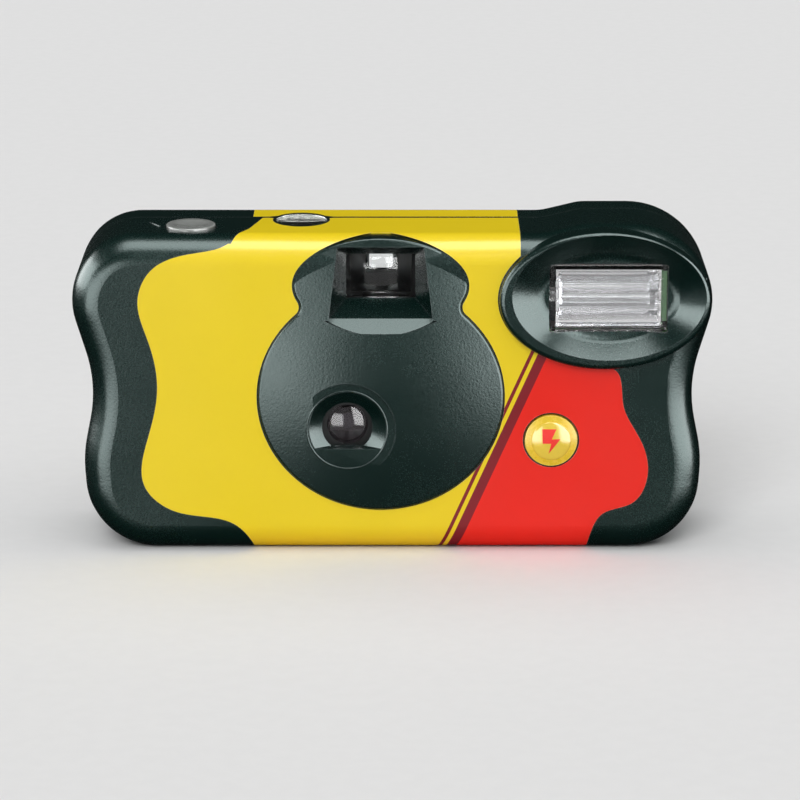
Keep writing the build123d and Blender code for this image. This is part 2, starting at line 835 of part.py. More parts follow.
def shutter_plate():
    """The upright plate that carries the blade's pin and the lens seat."""
    plate_y = shutter_plate_y
    back_y = plate_y + shutter_plate_thickness
    plate = block(
        lens_x - shutter_plate_half_width, lens_x + shutter_plate_half_width,
        plate_y, back_y, shutter_plate_low, deck_z - clearance,
    )
    plate -= round_bar(lens_x, lens_z, blade_radius - frame_wall, plate_y - overrun, back_y + overrun)
    pin_front = plate_y - 2 * blade_gap - blade_thickness
    plate += round_bar(blade_pivot_x, blade_pivot_z, blade_pin_radius, pin_front, plate_y + fit)
    for side in (-1, 1):
        post_x = lens_x + side * (seat_half_width - frame_wall)
        plate += round_bar(
            post_x, lens_z - seat_half_width + frame_wall, frame_wall / 2, seat_back_y, plate_y + fit,
        )
    return plate


def lens_seat():
    """A square block in front of the blade with a stop and a cup for the lens."""
    blank = Pos(lens_x, lens_z) * RectangleRounded(2 * seat_half_width, 2 * seat_half_width, frame_wall)
    seat = between(blank, lens_back_y, seat_back_y)
    seat += round_bar(lens_x, lens_z, lens_radius + frame_wall, lens_front_y, lens_back_y)
    seat -= round_bar(lens_x, lens_z, lens_radius + fit, lens_front_y - overrun, lens_back_y)
    stop = Pos(lens_x, lens_z) * Circle(stop_radius)
    flared = Pos(lens_x, lens_z) * Circle(lens_radius - frame_wall)
    near = Plane.XZ.offset(-(lens_back_y - fit))
    far = Plane.XZ.offset(-seat_back_y)
    return seat - loft([near * flared, far * stop], ruled=True)


def taking_lens():
    """A single meniscus with its hollow side to the film."""
    blank = round_bar(lens_x, lens_z, lens_radius, lens_front_y - lens_crown, lens_back_y)
    front_ball_y = lens_front_y - lens_crown + lens_front_radius
    back_ball_y = lens_back_y - lens_hollow + lens_back_radius
    front_ball = Pos(lens_x, front_ball_y, lens_z) * Sphere(lens_front_radius)
    back_ball = Pos(lens_x, back_ball_y, lens_z) * Sphere(lens_back_radius)
    return (blank & front_ball) - back_ball


def lens_ring():
    """The thin ring that holds the lens in its cup."""
    ring_front = lens_front_y - lens_ring_thickness
    outer = round_bar(lens_x, lens_z, lens_radius + frame_wall, ring_front, lens_front_y)
    bore = round_bar(lens_x, lens_z, lens_back_reach, ring_front - overrun, lens_front_y + fit)
    front_ball_y = lens_front_y - lens_crown + lens_front_radius
    front_ball = Pos(lens_x, front_ball_y, lens_z) * Sphere(lens_front_radius + fit)
    return outer - bore - front_ball


def shutter_blade():
    """A thin sector that covers the lens, with a tail that the striker knocks aside."""
    arm = Polyline((0, 0), (blade_pivot_left, -blade_pivot_up))
    tail = Polyline((0, 0), (-blade_tail_left, blade_tail_up))
    plan = trace(arm, line_width=blade_arm_width) + trace(tail, line_width=blade_arm_width)
    plan += Pos(blade_pivot_left, -blade_pivot_up) * Circle(blade_radius)
    plan += Circle(blade_arm_width)
    plan += Pos(-blade_tail_left, blade_tail_up) * Circle(blade_arm_width / 2)
    plan -= Circle(blade_pin_radius + fit)
    blade_y = shutter_plate_y - blade_gap
    return between(Pos(blade_pivot_x, blade_pivot_z) * plan, blade_y - blade_thickness, blade_y)


def striker():
    """The cocked lever on the deck, with one arm towards the blade and one towards the cam."""
    low = deck_top + clearance
    reach = trace(Polyline((0, 0), (striker_side / 2, -striker_reach)), line_width=striker_width)
    side = trace(Polyline((0, 0), (-striker_side, -striker_side / 2)), line_width=striker_width)
    plan = reach + side + Circle(striker_width) - Circle(striker_post_radius + fit)
    return Pos(striker_x, striker_y) * upright(plan, low, low + striker_thickness)


def striker_spring():
    """A wound spring on the striker's post."""
    low = deck_top + clearance + striker_thickness + spring_wire_radius + fit
    path = Helix(spring_pitch, spring_turns * spring_pitch, spring_coil_radius)
    section = Plane(path @ 0, z_dir=path % 0) * Circle(spring_wire_radius)
    return Pos(striker_x, striker_y, low) * sweep(section, path)


def wheel_lock():
    """The finger that stops the wheel once a frame has been wound."""
    tip = (-lock_tip_left, lock_tip_back)
    plan = trace(Polyline((0, 0), tip), line_width=lock_width) + Circle(lock_width)
    plan += Pos(*tip) * Circle(lock_width / 2)
    plan -= Circle(lock_post_radius + fit)
    return Pos(lock_x, lock_y) * upright(plan, lock_low, lock_low + lock_thickness)


# Film

def film_cassette():
    """The metal shell with pressed end caps, a light trap lip and bores for the spool."""
    shell = round_post(
        pocket_x, pocket_y, cassette_radius - cassette_cap_step,
        cassette_low + cassette_cap, cassette_high - cassette_cap,
    )
    for low in (cassette_low, cassette_high - cassette_cap):
        cap = round_post(pocket_x, pocket_y, cassette_radius, low, low + cassette_cap)
        shell += fillet(cap.edges(), cassette_cap_step)
    lip_right = pocket_x + cassette_radius - cassette_cap
    shell += block(
        lip_right - cassette_lip_length - cassette_radius / 2, lip_right,
        film_y - cassette_lip_height + film_thickness, film_y + film_thickness,
        cassette_low + cassette_cap, cassette_high - cassette_cap,
    )
    shell -= block(
        pocket_x, lip_right + overrun, film_y - film_thickness - fit, film_y + fit,
        film_low - clearance, film_high + clearance,
    )
    return shell - round_post(
        pocket_x, pocket_y, spool_radius + clearance, cassette_low - overrun, cassette_high + overrun,
    )


def cassette_spool():
    """The spool inside the shell, wound by the wheel from above."""
    spool = round_post(pocket_x, pocket_y, spool_radius, cassette_low, cassette_high)
    spool += round_post(pocket_x, pocket_y, spool_stub_radius, cassette_high, cassette_high + spool_stub)
    return spool - round_post(
        pocket_x, pocket_y, wheel_key, cassette_high - spool_stub, cassette_high + spool_stub + overrun,
    )


def film_strip():
    """The film across the gate, between the shell's lip and the supply roll."""
    left = pocket_x + cassette_radius - cassette_cap + clearance
    return block(left, supply_x, film_y - film_thickness, film_y, film_low, film_high)


def supply_roll():
    """The unexposed film, wound on its own spool."""
    ring = round_post(supply_x, supply_y, supply_roll_radius, film_low, film_high)
    return ring - round_post(
        supply_x, supply_y, supply_core_radius, film_low - overrun, film_high + overrun,
    )


def supply_spool():
    low = film_low - clearance
    high = film_high + clearance
    spool = round_post(supply_x, supply_y, supply_core_radius, low, high)
    for flange_low in (low - supply_flange, high):
        flange_high = flange_low + supply_flange
        spool += round_post(supply_x, supply_y, supply_flange_radius, flange_low, flange_high)
    return spool + round_post(
        supply_x, supply_y, supply_stub_radius, inner_floor + clearance, deck_top,
    )


# Film advance

def toothed_disc(radius, tooth, count):
    """A disc outline with even pointed teeth."""
    points = []
    for index in range(2 * count):
        reach = radius if index % 2 == 0 else radius - tooth
        angle = pi * index / count
        points.append((reach * cos(angle), reach * sin(angle)))
    return make_face(Polyline(*points, close=True))


def thumbwheel():
    """The knurled wheel with a hub above and a key down into the spool."""
    disc = toothed_disc(wheel_radius, wheel_tooth_depth, wheel_teeth)
    wheel = upright(disc, wheel_low, wheel_high)
    wheel = Pos(pocket_x, pocket_y) * wheel
    wheel += round_post(pocket_x, pocket_y, wheel_hub_radius, wheel_low, wheel_high + wheel_hub_rise)
    wheel -= round_post(
        pocket_x, pocket_y, spool_stub_radius + fit,
        wheel_low - overrun, cassette_high + spool_stub + fit,
    )
    key = round_post(
        pocket_x, pocket_y, wheel_key - fit, cassette_high - spool_stub + clearance, wheel_high,
    )
    return wheel + key


def sprocket():
    """The toothed drum that the film turns, with its shaft and cam."""
    drum = Circle(sprocket_radius)
    for index in range(sprocket_teeth):
        tooth = Pos(sprocket_radius, 0) * Rectangle(2 * sprocket_tooth, sprocket_tooth_width)
        drum += Rot(0, 0, 360 * index / sprocket_teeth) * tooth
    wheel = Pos(sprocket_x, sprocket_y) * upright(drum, sprocket_low, sprocket_low + sprocket_height)
    cam_low = deck_top + clearance
    cam_high = cam_low + sprocket_cam_height
    wheel += round_post(sprocket_x, sprocket_y, sprocket_shaft_radius, sprocket_low, cam_high)
    cam = Circle(sprocket_cam_radius) - Pos(sprocket_cam_radius, 0) * Circle(frame_wall)
    return wheel + upright(Pos(sprocket_x, sprocket_y) * cam, cam_low, cam_high)


def counter_dial():
    disc = toothed_disc(counter_dial_radius, wheel_tooth_depth, counter_teeth)
    disc -= Circle(counter_post_radius + fit)
    return Pos(counter_x, counter_y) * upright(disc, counter_z, counter_z + counter_dial_thickness)


# Release button

def release_button():
    """The oval button with a thumb dish, a skirt and a flange that keeps it in."""
    high = body_height + button_proud
    cap = upright(button_plan(), inner_roof - button_skirt, high)
    cap = fillet(cap.faces().sort_by(Axis.Z)[-1].edges(), button_proud / 2)
    cap += upright(
        button_plan(button_flange), inner_roof - fit - button_flange_thickness, inner_roof - fit,
    )
    dish_z = high - button_dish + button_dish_radius
    return cap - Pos(button_x, button_y, dish_z) * Sphere(button_dish_radius)


def release_arm():
    """The flat arm under the button that carries its travel to the lock."""
    high = inner_roof - button_skirt
    low = high - arm_thickness
    front = button_y - arm_width / 2
    arm = block(button_x - button_half_width, arm_right, front, front + arm_width, low, high)
    return fillet(arm.edges().filter_by(Axis.Z), arm_corner)


# Flash

def flash_window():
    """The clear window: a skirted cap whose face carries level prism ribs."""
    window_y = dish_floor_y - flash_window_thickness / 2
    outline = Pos(flash_x, flash_z) * RectangleRounded(
        flash_window_width, flash_window_height, flash_window_round,
    )
    back_y = window_y + flash_window_thickness
    cap = between(outline, window_y, back_y + flash_window_skirt)
    bore = Pos(flash_x, flash_z) * Rectangle(
        flash_window_width - 2 * flash_window_wall, flash_window_height - 2 * flash_window_wall,
    )
    cap -= between(bore, back_y, back_y + flash_window_skirt + overrun)
    pitch = (flash_window_height - 2 * flash_window_wall) / flash_ribs
    rib_half = (flash_window_width - 2 * flash_window_wall) / 2
    for index in range(flash_ribs):
        low = flash_z - flash_window_height / 2 + flash_window_wall + index * pitch
        crest = (window_y - flash_rib_depth, low + pitch / 2)
        ridge = Polyline((window_y, low), crest, (window_y, low + pitch), close=True)
        cap += across(make_face(ridge), flash_x - rib_half, flash_x + rib_half)
    return cap


def trough_outline(half_front, half_back, front, back):
    """A side view that narrows from the window to the back of the reflector."""
    upper = [(front, flash_z + half_front), (back, flash_z + half_back)]
    lower = [(back, flash_z - half_back), (front, flash_z - half_front)]
    return make_face(Polyline(*upper, *lower, close=True))


def flash_reflector():
    """A bright trough that opens towards the window."""
    mouth_y = dish_floor_y + flash_window_thickness / 2 + clearance
    end_y = mouth_y + reflector_depth
    half_length = flash_window_width / 2 - flash_window_wall - clearance
    half_front = flash_window_height / 2 - flash_window_wall - clearance
    half_back = reflector_back_height / 2
    outer = trough_outline(half_front, half_back, mouth_y, end_y)
    inner = trough_outline(
        half_front - reflector_wall, half_back - reflector_wall, mouth_y - fit, end_y - reflector_wall,
    )
    inner_length = half_length - reflector_wall
    trough = across(outer, flash_x - half_length, flash_x + half_length)
    trough -= across(inner, flash_x - inner_length, flash_x + inner_length)
    tube_bore = Pos(tube_y, flash_z) * Circle(tube_radius + fit)
    return trough - across(tube_bore, flash_x - half_length - overrun, flash_x + half_length + overrun)


def flash_tube():
    """The glass tube across the trough, with a metal cap at each end."""
    reach = flash_window_width / 2 + tube_overhang
    axis = Pos(tube_y, flash_z)
    tube = across(axis * Circle(tube_radius), flash_x - reach, flash_x + reach)
    for side in (-1, 1):
        cap_left = flash_x + side * reach - tube_overhang / 2
        tube += across(axis * Circle(tube_band_radius), cap_left, cap_left + tube_overhang)
    return tube


def charge_button():
    """The round button that charges the flash, with a crowned face and a stem to its switch."""
    face_y = front_y - charge_proud
    back_y = inner_front + fit + charge_flange_thickness
    button = round_bar(charge_x, charge_z, charge_radius, face_y, back_y)
    button &= Pos(charge_x, face_y + charge_crown_radius, charge_z) * Sphere(charge_crown_radius)
    button += round_bar(charge_x, charge_z, charge_radius + charge_flange, inner_front + fit, back_y)
    stem_y = board_y - switch_stand - charge_travel - clearance
    return button + round_bar(charge_x, charge_z, charge_stem_radius, back_y - fit, stem_y)


def charge_switch():
    """A springy strip that stands off the board behind the stem."""
    face_y = board_y - switch_stand
    left = charge_x - switch_width / 2
    right = charge_x + switch_width / 2
    low = charge_z - switch_width / 2
    high = low + switch_length
    leaf = block(left, right, face_y, face_y + switch_thickness, low, high)
    return leaf + block(left, right, face_y, board_y, high - switch_width / 2, high)


def circuit_board():
    """The flash board, with a tab that reaches up beside the finder."""
    board = block(board_left, board_right, board_y, board_back_y, board_low, board_high)
    tab_right = board_left + board_tab_width
    tab_high = finder_z + lamp_radius + clearance
    return board + block(board_left, tab_right, board_y, board_back_y, board_low, tab_high)


def flash_capacitor():
    """The large capacitor standing behind the board, with a crimp near one end."""
    capacitor_y = board_back_y + fit + capacitor_radius
    can = round_post(
        capacitor_x, capacitor_y, capacitor_radius, capacitor_low, capacitor_low + capacitor_length,
    )
    can = fillet(can.edges(), capacitor_edge_round)
    groove_z = capacitor_low + capacitor_groove_rise
    groove = Torus(capacitor_radius + clearance, 2 * clearance)
    return can - Pos(capacitor_x, capacitor_y, groove_z) * groove


def transformer():
    """The charging transformer: a wound bobbin between two core plates."""
    left = board_right - transformer_width
    low = charge_z + transformer_core
    back_y = board_back_y + fit + transformer_depth
    high = low + transformer_height
    bobbin = block(
        left + transformer_core / 2, board_right - transformer_core / 2,
        board_back_y + fit + transformer_core / 2, back_y - transformer_core / 2, low, high,
    )
    for plate_low in (low, high - transformer_core):
        plate_high = plate_low + transformer_core
        bobbin += block(left, board_right, board_back_y + fit, back_y, plate_low, plate_high)
    return bobbin


def trigger_coil():
    coil_y = board_back_y + fit + coil_radius
    coil = round_post(pipe_x, coil_y, coil_radius - 2 * fit, coil_low, coil_low + coil_length)
    for end_low in (coil_low, coil_low + coil_length - coil_flange):
        coil += round_post(pipe_x, coil_y, coil_radius, end_low, end_low + coil_flange)
    return coil


def ready_lamp():
    """The small glow lamp on the board's tab."""
    lamp_y = board_back_y + fit + lamp_radius
    lamp = Pos(pipe_x, lamp_y, finder_z) * Rot(0, 90, 0) * Cylinder(lamp_radius, lamp_length)
    return fillet(lamp.edges(), lamp_edge_round)


def light_pipe():
    """The clear rod that brings the lamp's glow to the back."""
    start_y = board_back_y + 2 * fit + 2 * lamp_radius + clearance
    pipe = round_bar(pipe_x, finder_z, pipe_radius, start_y, rear_y - label_thickness)
    head_y = inner_rear - pipe_head - fit
    return pipe + round_bar(pipe_x, finder_z, pipe_head_radius, head_y, inner_rear - fit)


def battery():
    axis = Pos(battery_y, battery_z)
    right = battery_left + battery_length
    cell = across(axis * Circle(battery_radius), battery_left, right)
    cell = fillet(cell.edges(), battery_ring)
    return cell + across(axis * Circle(battery_nub_radius), right - fit, battery_right)


def battery_contact(low_x):
    """A flat strip with rounded corners that bears on one end of the battery."""
    plate = Pos(battery_y, battery_z) * RectangleRounded(contact_width, contact_width, contact_corner)
    return across(plate, low_x, low_x + contact_thickness)


parts = {
    "front_cover": front_cover(),
    "rear_cover": rear_cover(),
    "front_label": front_label(),
    "rear_label": rear_label(),
    "counter_window": counter_window(),
    "finder_front_lens": finder_front_lens(),
    "finder_eyepiece": finder_eyepiece(),
    "main_frame": main_frame(),
    "shutter_plate": shutter_plate(),
    "lens_seat": lens_seat(),
    "taking_lens": taking_lens(),
    "lens_ring": lens_ring(),
    "shutter_blade": shutter_blade(),
    "striker": striker(),
    "striker_spring": striker_spring(),
    "wheel_lock": wheel_lock(),
    "film_cassette": film_cassette(),
    "cassette_spool": cassette_spool(),
    "film_strip": film_strip(),
    "supply_roll": supply_roll(),
    "supply_spool": supply_spool(),
    "thumbwheel": thumbwheel(),
    "sprocket": sprocket(),
    "counter_dial": counter_dial(),
    "release_button": release_button(),
    "release_arm": release_arm(),
    "flash_window": flash_window(),
    "flash_reflector": flash_reflector(),
    "flash_tube": flash_tube(),
    "charge_button": charge_button(),
    "charge_switch": charge_switch(),
    "circuit_board": circuit_board(),
    "flash_capacitor": flash_capacitor(),
    "transformer": transformer(),
    "trigger_coil": trigger_coil(),
    "ready_lamp": ready_lamp(),
    "light_pipe": light_pipe(),
    "battery": battery(),
    "battery_contact_minus": battery_contact(battery_left - contact_gap - contact_thickness),
    "battery_contact_plus": battery_contact(battery_right + contact_gap),
}

os.makedirs("parts", exist_ok=True)
for name, form in parts.items():
    solids = form.solids()
    export_step(solids[0] if len(solids) == 1 else Compound(children=solids), f"parts/{name}.step")
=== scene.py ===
from math import cos, pi, radians, sin, sqrt

import bmesh
import bpy
from bpy.props import FloatProperty, FloatVectorProperty, IntProperty, PointerProperty
from mathutils import Matrix, Vector
from mathutils.bvhtree import BVHTree


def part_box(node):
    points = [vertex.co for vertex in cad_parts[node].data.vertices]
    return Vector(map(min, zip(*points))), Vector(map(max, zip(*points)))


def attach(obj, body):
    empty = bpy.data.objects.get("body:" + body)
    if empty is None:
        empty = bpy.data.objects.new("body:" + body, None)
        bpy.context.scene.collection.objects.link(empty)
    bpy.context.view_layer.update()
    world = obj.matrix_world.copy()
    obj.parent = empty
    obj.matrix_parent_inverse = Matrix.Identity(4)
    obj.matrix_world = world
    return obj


bl_info = {
    "name": "Film Camera Looks",
    "version": (1, 0, 0),
    "blender": (4, 5, 0),
    "location": "View3D > Sidebar > Film Camera",
    "description": "Finishes and small trim pieces of a flat single-use film camera",
    "category": "Object",
}

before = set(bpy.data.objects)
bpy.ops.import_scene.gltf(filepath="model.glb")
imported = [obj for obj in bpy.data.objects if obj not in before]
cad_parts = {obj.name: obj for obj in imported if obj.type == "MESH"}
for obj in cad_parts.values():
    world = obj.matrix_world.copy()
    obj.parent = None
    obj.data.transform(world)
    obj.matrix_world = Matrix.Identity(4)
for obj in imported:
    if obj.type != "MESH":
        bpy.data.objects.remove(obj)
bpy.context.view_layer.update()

mm = 0.001


def ink(red, green, blue):
    """A screen colour from 0 to 255 as the linear colour that shaders take."""
    out = []
    for value in (red, green, blue):
        share = value / 255
        out.append(share / 12.92 if share <= 0.04045 else ((share + 0.055) / 1.055) ** 2.4)
    return (*out, 1.0)


def colour_property(name, description, default):
    return FloatVectorProperty(
        name=name, description=description, default=default, size=4, min=0.0, max=1.0, subtype="COLOR",
    )


def length_property(name, description, default):
    return FloatProperty(
        name=name, description=description, default=default, min=0.0, unit="LENGTH", precision=5,
    )


def share_property(name, description, default):
    return FloatProperty(
        name=name, description=description, default=default, min=0.0, max=1.0, subtype="FACTOR",
    )


def angle_property(name, description, degrees):
    return FloatProperty(name=name, description=description, default=radians(degrees), subtype="ANGLE")


def strength_property(name, description, default):
    return FloatProperty(name=name, description=description, default=default, min=0.0)


# Settings

class ShellSettings(bpy.types.PropertyGroup):
    """Finish of the black mouldings."""

    colour: colour_property("Shell colour", "Colour of the black plastic", (0.0015, 0.0115, 0.0092, 1.0))
    gloss_tint: colour_property(
        "Gloss tint", "Tint of the light that the plastic mirrors", (0.84, 1.0, 0.98, 1.0),
    )
    grain_size: length_property("Grain size", "Width of one grain of the moulded texture", 0.30 * mm)
    grain_depth: length_property("Grain depth", "Height of the moulded texture", 0.014 * mm)
    roughness: share_property("Roughness", "Roughness between the grains", 0.25)
    # The edge colour and width paint a light rim highlight along the shell's edges, partly as rubbing.
    wear_width: length_property("Wear and highlight width", "How far the rubbed and highlit edges reach in", 0.35 * mm)
    wear_colour: colour_property("Wear and highlight colour", "Colour of rubbed edges and of the painted edge highlight", (0.075, 0.085, 0.088, 1.0))


class PrintSettings(bpy.types.PropertyGroup):
    """Colours and layout of the printed label."""

    ground: colour_property("Ground", "Colour of the label", ink(239, 210, 28))
    field: colour_property("Field", "Colour of the slanted field", ink(236, 36, 22))
    stripe: colour_property("Stripe", "Colour of the slanted stripes", ink(128, 30, 38))
    # The colour and the height below paint shade towards the label's lower edge.
    warm: colour_property("Painted base shade", "Colour of the painted shade towards the lower edge", ink(246, 188, 40))
    stripe_foot: length_property("Stripe foot", "Where the field's edge meets the base", 11.6 * mm)
    stripe_head: length_property("Stripe head", "Where the field's edge is at the head height", 27.6 * mm)
    head_height: length_property("Head height", "Height at which the head is measured", 36.0 * mm)
    stripe_width: length_property("Stripe width", "Width of the broad stripe", 1.9 * mm)
    line_width: length_property("Line width", "Width of the thin stripe", 0.7 * mm)
    line_gap: length_property("Line gap", "Gap between the stripes", 0.8 * mm)
    warm_height: length_property("Painted shade height", "How high the painted shade reaches", 6.0 * mm)
    roughness: share_property("Roughness", "Roughness of the varnish", 0.24)


class TrimSettings(bpy.types.PropertyGroup):
    """Sizes of the small pieces that dress the camera."""

    pad_radius: length_property("Pad radius", "Radius of the raised pad on the flash button", 3.45 * mm)
    pad_rise: length_property("Pad rise", "Height of the raised pad", 0.42 * mm)
    bolt_height: length_property("Bolt height", "Height of the bolt on the flash button", 4.6 * mm)
    bolt_lift: length_property("Bolt lift", "How far the bolt stands off the pad", 0.05 * mm)
    button_colour: colour_property("Button colour", "Colour of the release button", ink(134, 137, 134))
    disc_colour: colour_property("Disc colour", "Colour of the flash button", ink(234, 198, 44))
    pad_colour: colour_property("Pad colour", "Colour of the raised pad", ink(238, 208, 76))
    numeral_height: length_property("Numeral height", "Height of the numbers on the dial", 1.15 * mm)
    numeral_ring: length_property("Numeral ring", "Radius of the ring of numbers", 3.25 * mm)
    numeral_step: IntProperty(
        name="Numeral step", description="Frames from one number to the next", default=3, min=1,
    )
    last_frame: IntProperty(name="Last frame", description="Highest number on the dial", default=27, min=1)
    sheet_inset: length_property("Sheet inset", "From the reflector's rim to its end plates", 0.45 * mm)
    sheet_thickness: length_property("Sheet thickness", "Thickness of the bright sheet", 0.12 * mm)
    left_lean: length_property("Left lean", "How far the left end plate leans in", 0.75 * mm)
    right_lean: length_property("Right lean", "How far the right end plate leans in", 1.65 * mm)
    end_back_share: share_property("End back share", "Height of the end plates at the back", 0.42)
    clip_height: length_property("Clip height", "Height of the row of clips under the reflector", 0.85 * mm)
    clip_width: length_property("Clip width", "Width of one clip", 0.45 * mm)
    clip_shares: FloatVectorProperty(
        name="Clip shares", description="Places of the clips along the reflector",
        default=(0.0, 0.09, 0.19, 0.36, 0.47, 0.57, 0.68, 0.88), size=8, min=0.0, max=1.0,
    )
    index_width: length_property("Index width", "Width of the raised index at the release button", 0.32 * mm)
    index_start: FloatVectorProperty(
        name="Index start", description="Far end of the index, from the middle of the button's left side",
        default=(-2.45 * mm, 3.8 * mm), size=2, unit="LENGTH",
    )
    index_end: FloatVectorProperty(
        name="Index end", description="Near end of the index, from the middle of the button's left side",
        default=(-0.45 * mm, 0.35 * mm), size=2, unit="LENGTH",
    )
    bead_radius: length_property("Bead radius", "Radius of the raised bead round the lens recess", 7.3 * mm)
    bead_width: length_property("Bead width", "Width of the raised bead round the lens recess", 0.30 * mm)
    bead_rise: length_property("Bead rise", "Height of the raised bead round the lens recess", 0.11 * mm)


class StageSettings(bpy.types.PropertyGroup):
    """The camera, the lights and the floor."""

    pitch: angle_property("Pitch", "How far the camera looks down", 15.0)
    distance: length_property("Distance", "From the camera to the middle of the object", 0.70)
    lens: FloatProperty(
        name="Lens", description="Focal length of the camera in millimetres", default=171.4, min=1.0,
    )
    aim: FloatVectorProperty(
        name="Aim", description="Point that the camera looks at", default=(1.4 * mm, -5.0 * mm, 26.7 * mm),
        size=3, subtype="TRANSLATION",
    )
    floor_reach: length_property("Floor reach", "From the middle of the floor to its edge", 4.0)
    floor_colour: colour_property("Floor colour", "Colour of the floor", (0.74, 0.74, 0.74, 1.0))
    room_light: strength_property("Room light", "Brightness of the dark room", 0.012)
    front_light: strength_property("Front light", "Brightness of the room in front", 0.04)
    roof_light: strength_property("Roof light", "Brightness of the soft box overhead", 7.3)
    far_light: strength_property("Far light", "Brightness of the soft box at the far left", 10.0)
    left_light: strength_property("Left light", "Brightness of the soft box on the left", 7.4)
    right_light: strength_property("Right light", "Brightness of the soft box on the right", 9.2)
    roof_power: strength_property("Roof power", "Strength of the diffused lamp overhead", 2.35)
    roof_spread: angle_property("Roof spread", "How wide the diffused lamp overhead is", 100.0)
    key_power: strength_property("Key power", "Strength of the diffused lamp in front", 1.50)
    key_spread: angle_property("Key spread", "How wide the diffused lamp in front is", 30.0)


# Shader building

def place(tree, kind, inputs=None, **settings):
    """Adds one node. An input takes a number, a colour or the socket to link from."""
    node = tree.nodes.new(kind)
    for key, value in settings.items():
        setattr(node, key, value)
    for key, value in (inputs or {}).items():
        if isinstance(value, bpy.types.NodeSocket):
            tree.links.new(value, node.inputs[key])
        else:
            node.inputs[key].default_value = value
    return node


def maths(tree, operation, first, second=0.0, clamp=False):
    inputs = {0: first, 1: second}
    return place(tree, "ShaderNodeMath", inputs, operation=operation, use_clamp=clamp).outputs[0]


def dot_product(tree, first, second):
    inputs = {0: first, 1: second}
    return place(tree, "ShaderNodeVectorMath", inputs, operation="DOT_PRODUCT").outputs["Value"]


def noise(tree, where, scale, detail):
    """Cloudy noise from 0 to 1, with its scale in waves per metre."""
    inputs = {"Vector": where, "Scale": scale, "Detail": detail}
    return place(tree, "ShaderNodeTexNoise", inputs).outputs["Fac"]


def faded(colour, share):
    """The colour with its light turned down to a share."""
    return tuple(value * share for value in colour[:3]) + (1.0,)


def blend_colour(tree, factor, first, second, mode="MIX"):
    node = place(tree, "ShaderNodeMix", data_type="RGBA", blend_type=mode, clamp_factor=True)
    for socket, value in ((node.inputs[0], factor), (node.inputs[6], first), (node.inputs[7], second)):
        if isinstance(value, bpy.types.NodeSocket):
            tree.links.new(value, socket)
        else:
            socket.default_value = value
    return node.outputs[2]


def ramp(tree, value, low, high, out_low=0.0, out_high=1.0, smooth=True):
    kind = "SMOOTHSTEP" if smooth else "LINEAR"
    inputs = {"Value": value, "From Min": low, "From Max": high, "To Min": out_low, "To Max": out_high}
    return place(tree, "ShaderNodeMapRange", inputs, interpolation_type=kind, clamp=True).outputs["Result"]


def place_coordinates(tree):
    """The place on the piece, in metres."""
    return place(tree, "ShaderNodeTexCoord").outputs["Object"]


def effect_group(name, inputs, outputs):
    """An empty node group with its named sockets, and its two ends."""
    group = bpy.data.node_groups.new(name, "ShaderNodeTree")
    for label, kind, default in inputs:
        socket = group.interface.new_socket(label, in_out="INPUT", socket_type=kind)
        socket.default_value = default
    for label, kind in outputs:
        group.interface.new_socket(label, in_out="OUTPUT", socket_type=kind)
    return group, group.nodes.new("NodeGroupInput"), group.nodes.new("NodeGroupOutput")


def grain_group():
    """Moulded grain: a height for bump and a speckle mask."""
    group, start, end = effect_group(
        "Moulded grain",
        [("Grains per Metre", "NodeSocketFloat", 3000.0), ("Softness", "NodeSocketFloat", 0.5)],
        [("Height", "NodeSocketFloat"), ("Speckle", "NodeSocketFloat")],
    )
    where = place_coordinates(group)
    size = start.outputs["Grains per Metre"]
    cell_inputs = {"Vector": where, "Scale": size, "Smoothness": 1.0}
    cells = place(group, "ShaderNodeTexVoronoi", cell_inputs, feature="SMOOTH_F1")
    coarse = noise(group, where, maths(group, "MULTIPLY", size, 0.6), 3.0)
    mixed = maths(group, "ADD", maths(group, "MULTIPLY", cells.outputs["Distance"], -0.6), coarse)
    group.links.new(mixed, end.inputs["Height"])
    fine = noise(group, where, maths(group, "MULTIPLY", size, 1.3), 2.0)
    half = maths(group, "MULTIPLY", start.outputs["Softness"], 0.25)
    low = maths(group, "SUBTRACT", 0.5, half)
    high = maths(group, "ADD", 0.5, half)
    group.links.new(ramp(group, fine, low, high), end.inputs["Speckle"])
    return group


def edge_wear_group():
    """Rubbed edges and painted edge highlight: a mask that is 1 along sharp edges, broken up by noise."""
    group, start, end = effect_group(
        "Edge wear and highlight",
        [("Width", "NodeSocketFloat", 0.0004), ("Amount", "NodeSocketFloat", 0.5)],
        [("Mask", "NodeSocketFloat")],
    )
    rounded = place(group, "ShaderNodeBevel", {"Radius": start.outputs["Width"]}, samples=4)
    plain = place(group, "ShaderNodeNewGeometry")
    edge = ramp(group, dot_product(group, rounded.outputs["Normal"], plain.outputs["Normal"]), 0.995, 0.90)
    broken = ramp(group, noise(group, place_coordinates(group), 900.0, 4.0), 0.35, 0.65, 0.35, 1.0)
    mask = maths(group, "MULTIPLY", maths(group, "MULTIPLY", edge, broken), start.outputs["Amount"])
    group.links.new(mask, end.inputs["Mask"])
    return group


def handling_group():
    """Faint smears and dust that change the gloss from place to place."""
    group, start, end = effect_group(
        "Handling",
        [("Patches per Metre", "NodeSocketFloat", 45.0), ("Amount", "NodeSocketFloat", 0.1)],
        [("Gloss Change", "NodeSocketFloat"), ("Dust", "NodeSocketFloat")],
    )
    where = place_coordinates(group)
    patches = noise(group, where, start.outputs["Patches per Metre"], 5.0)
    centred = maths(group, "SUBTRACT", patches, 0.5)
    group.links.new(maths(group, "MULTIPLY", centred, start.outputs["Amount"]), end.inputs["Gloss Change"])
    group.links.new(ramp(group, noise(group, where, 2600.0, 1.0), 0.70, 0.78), end.inputs["Dust"])
    return group


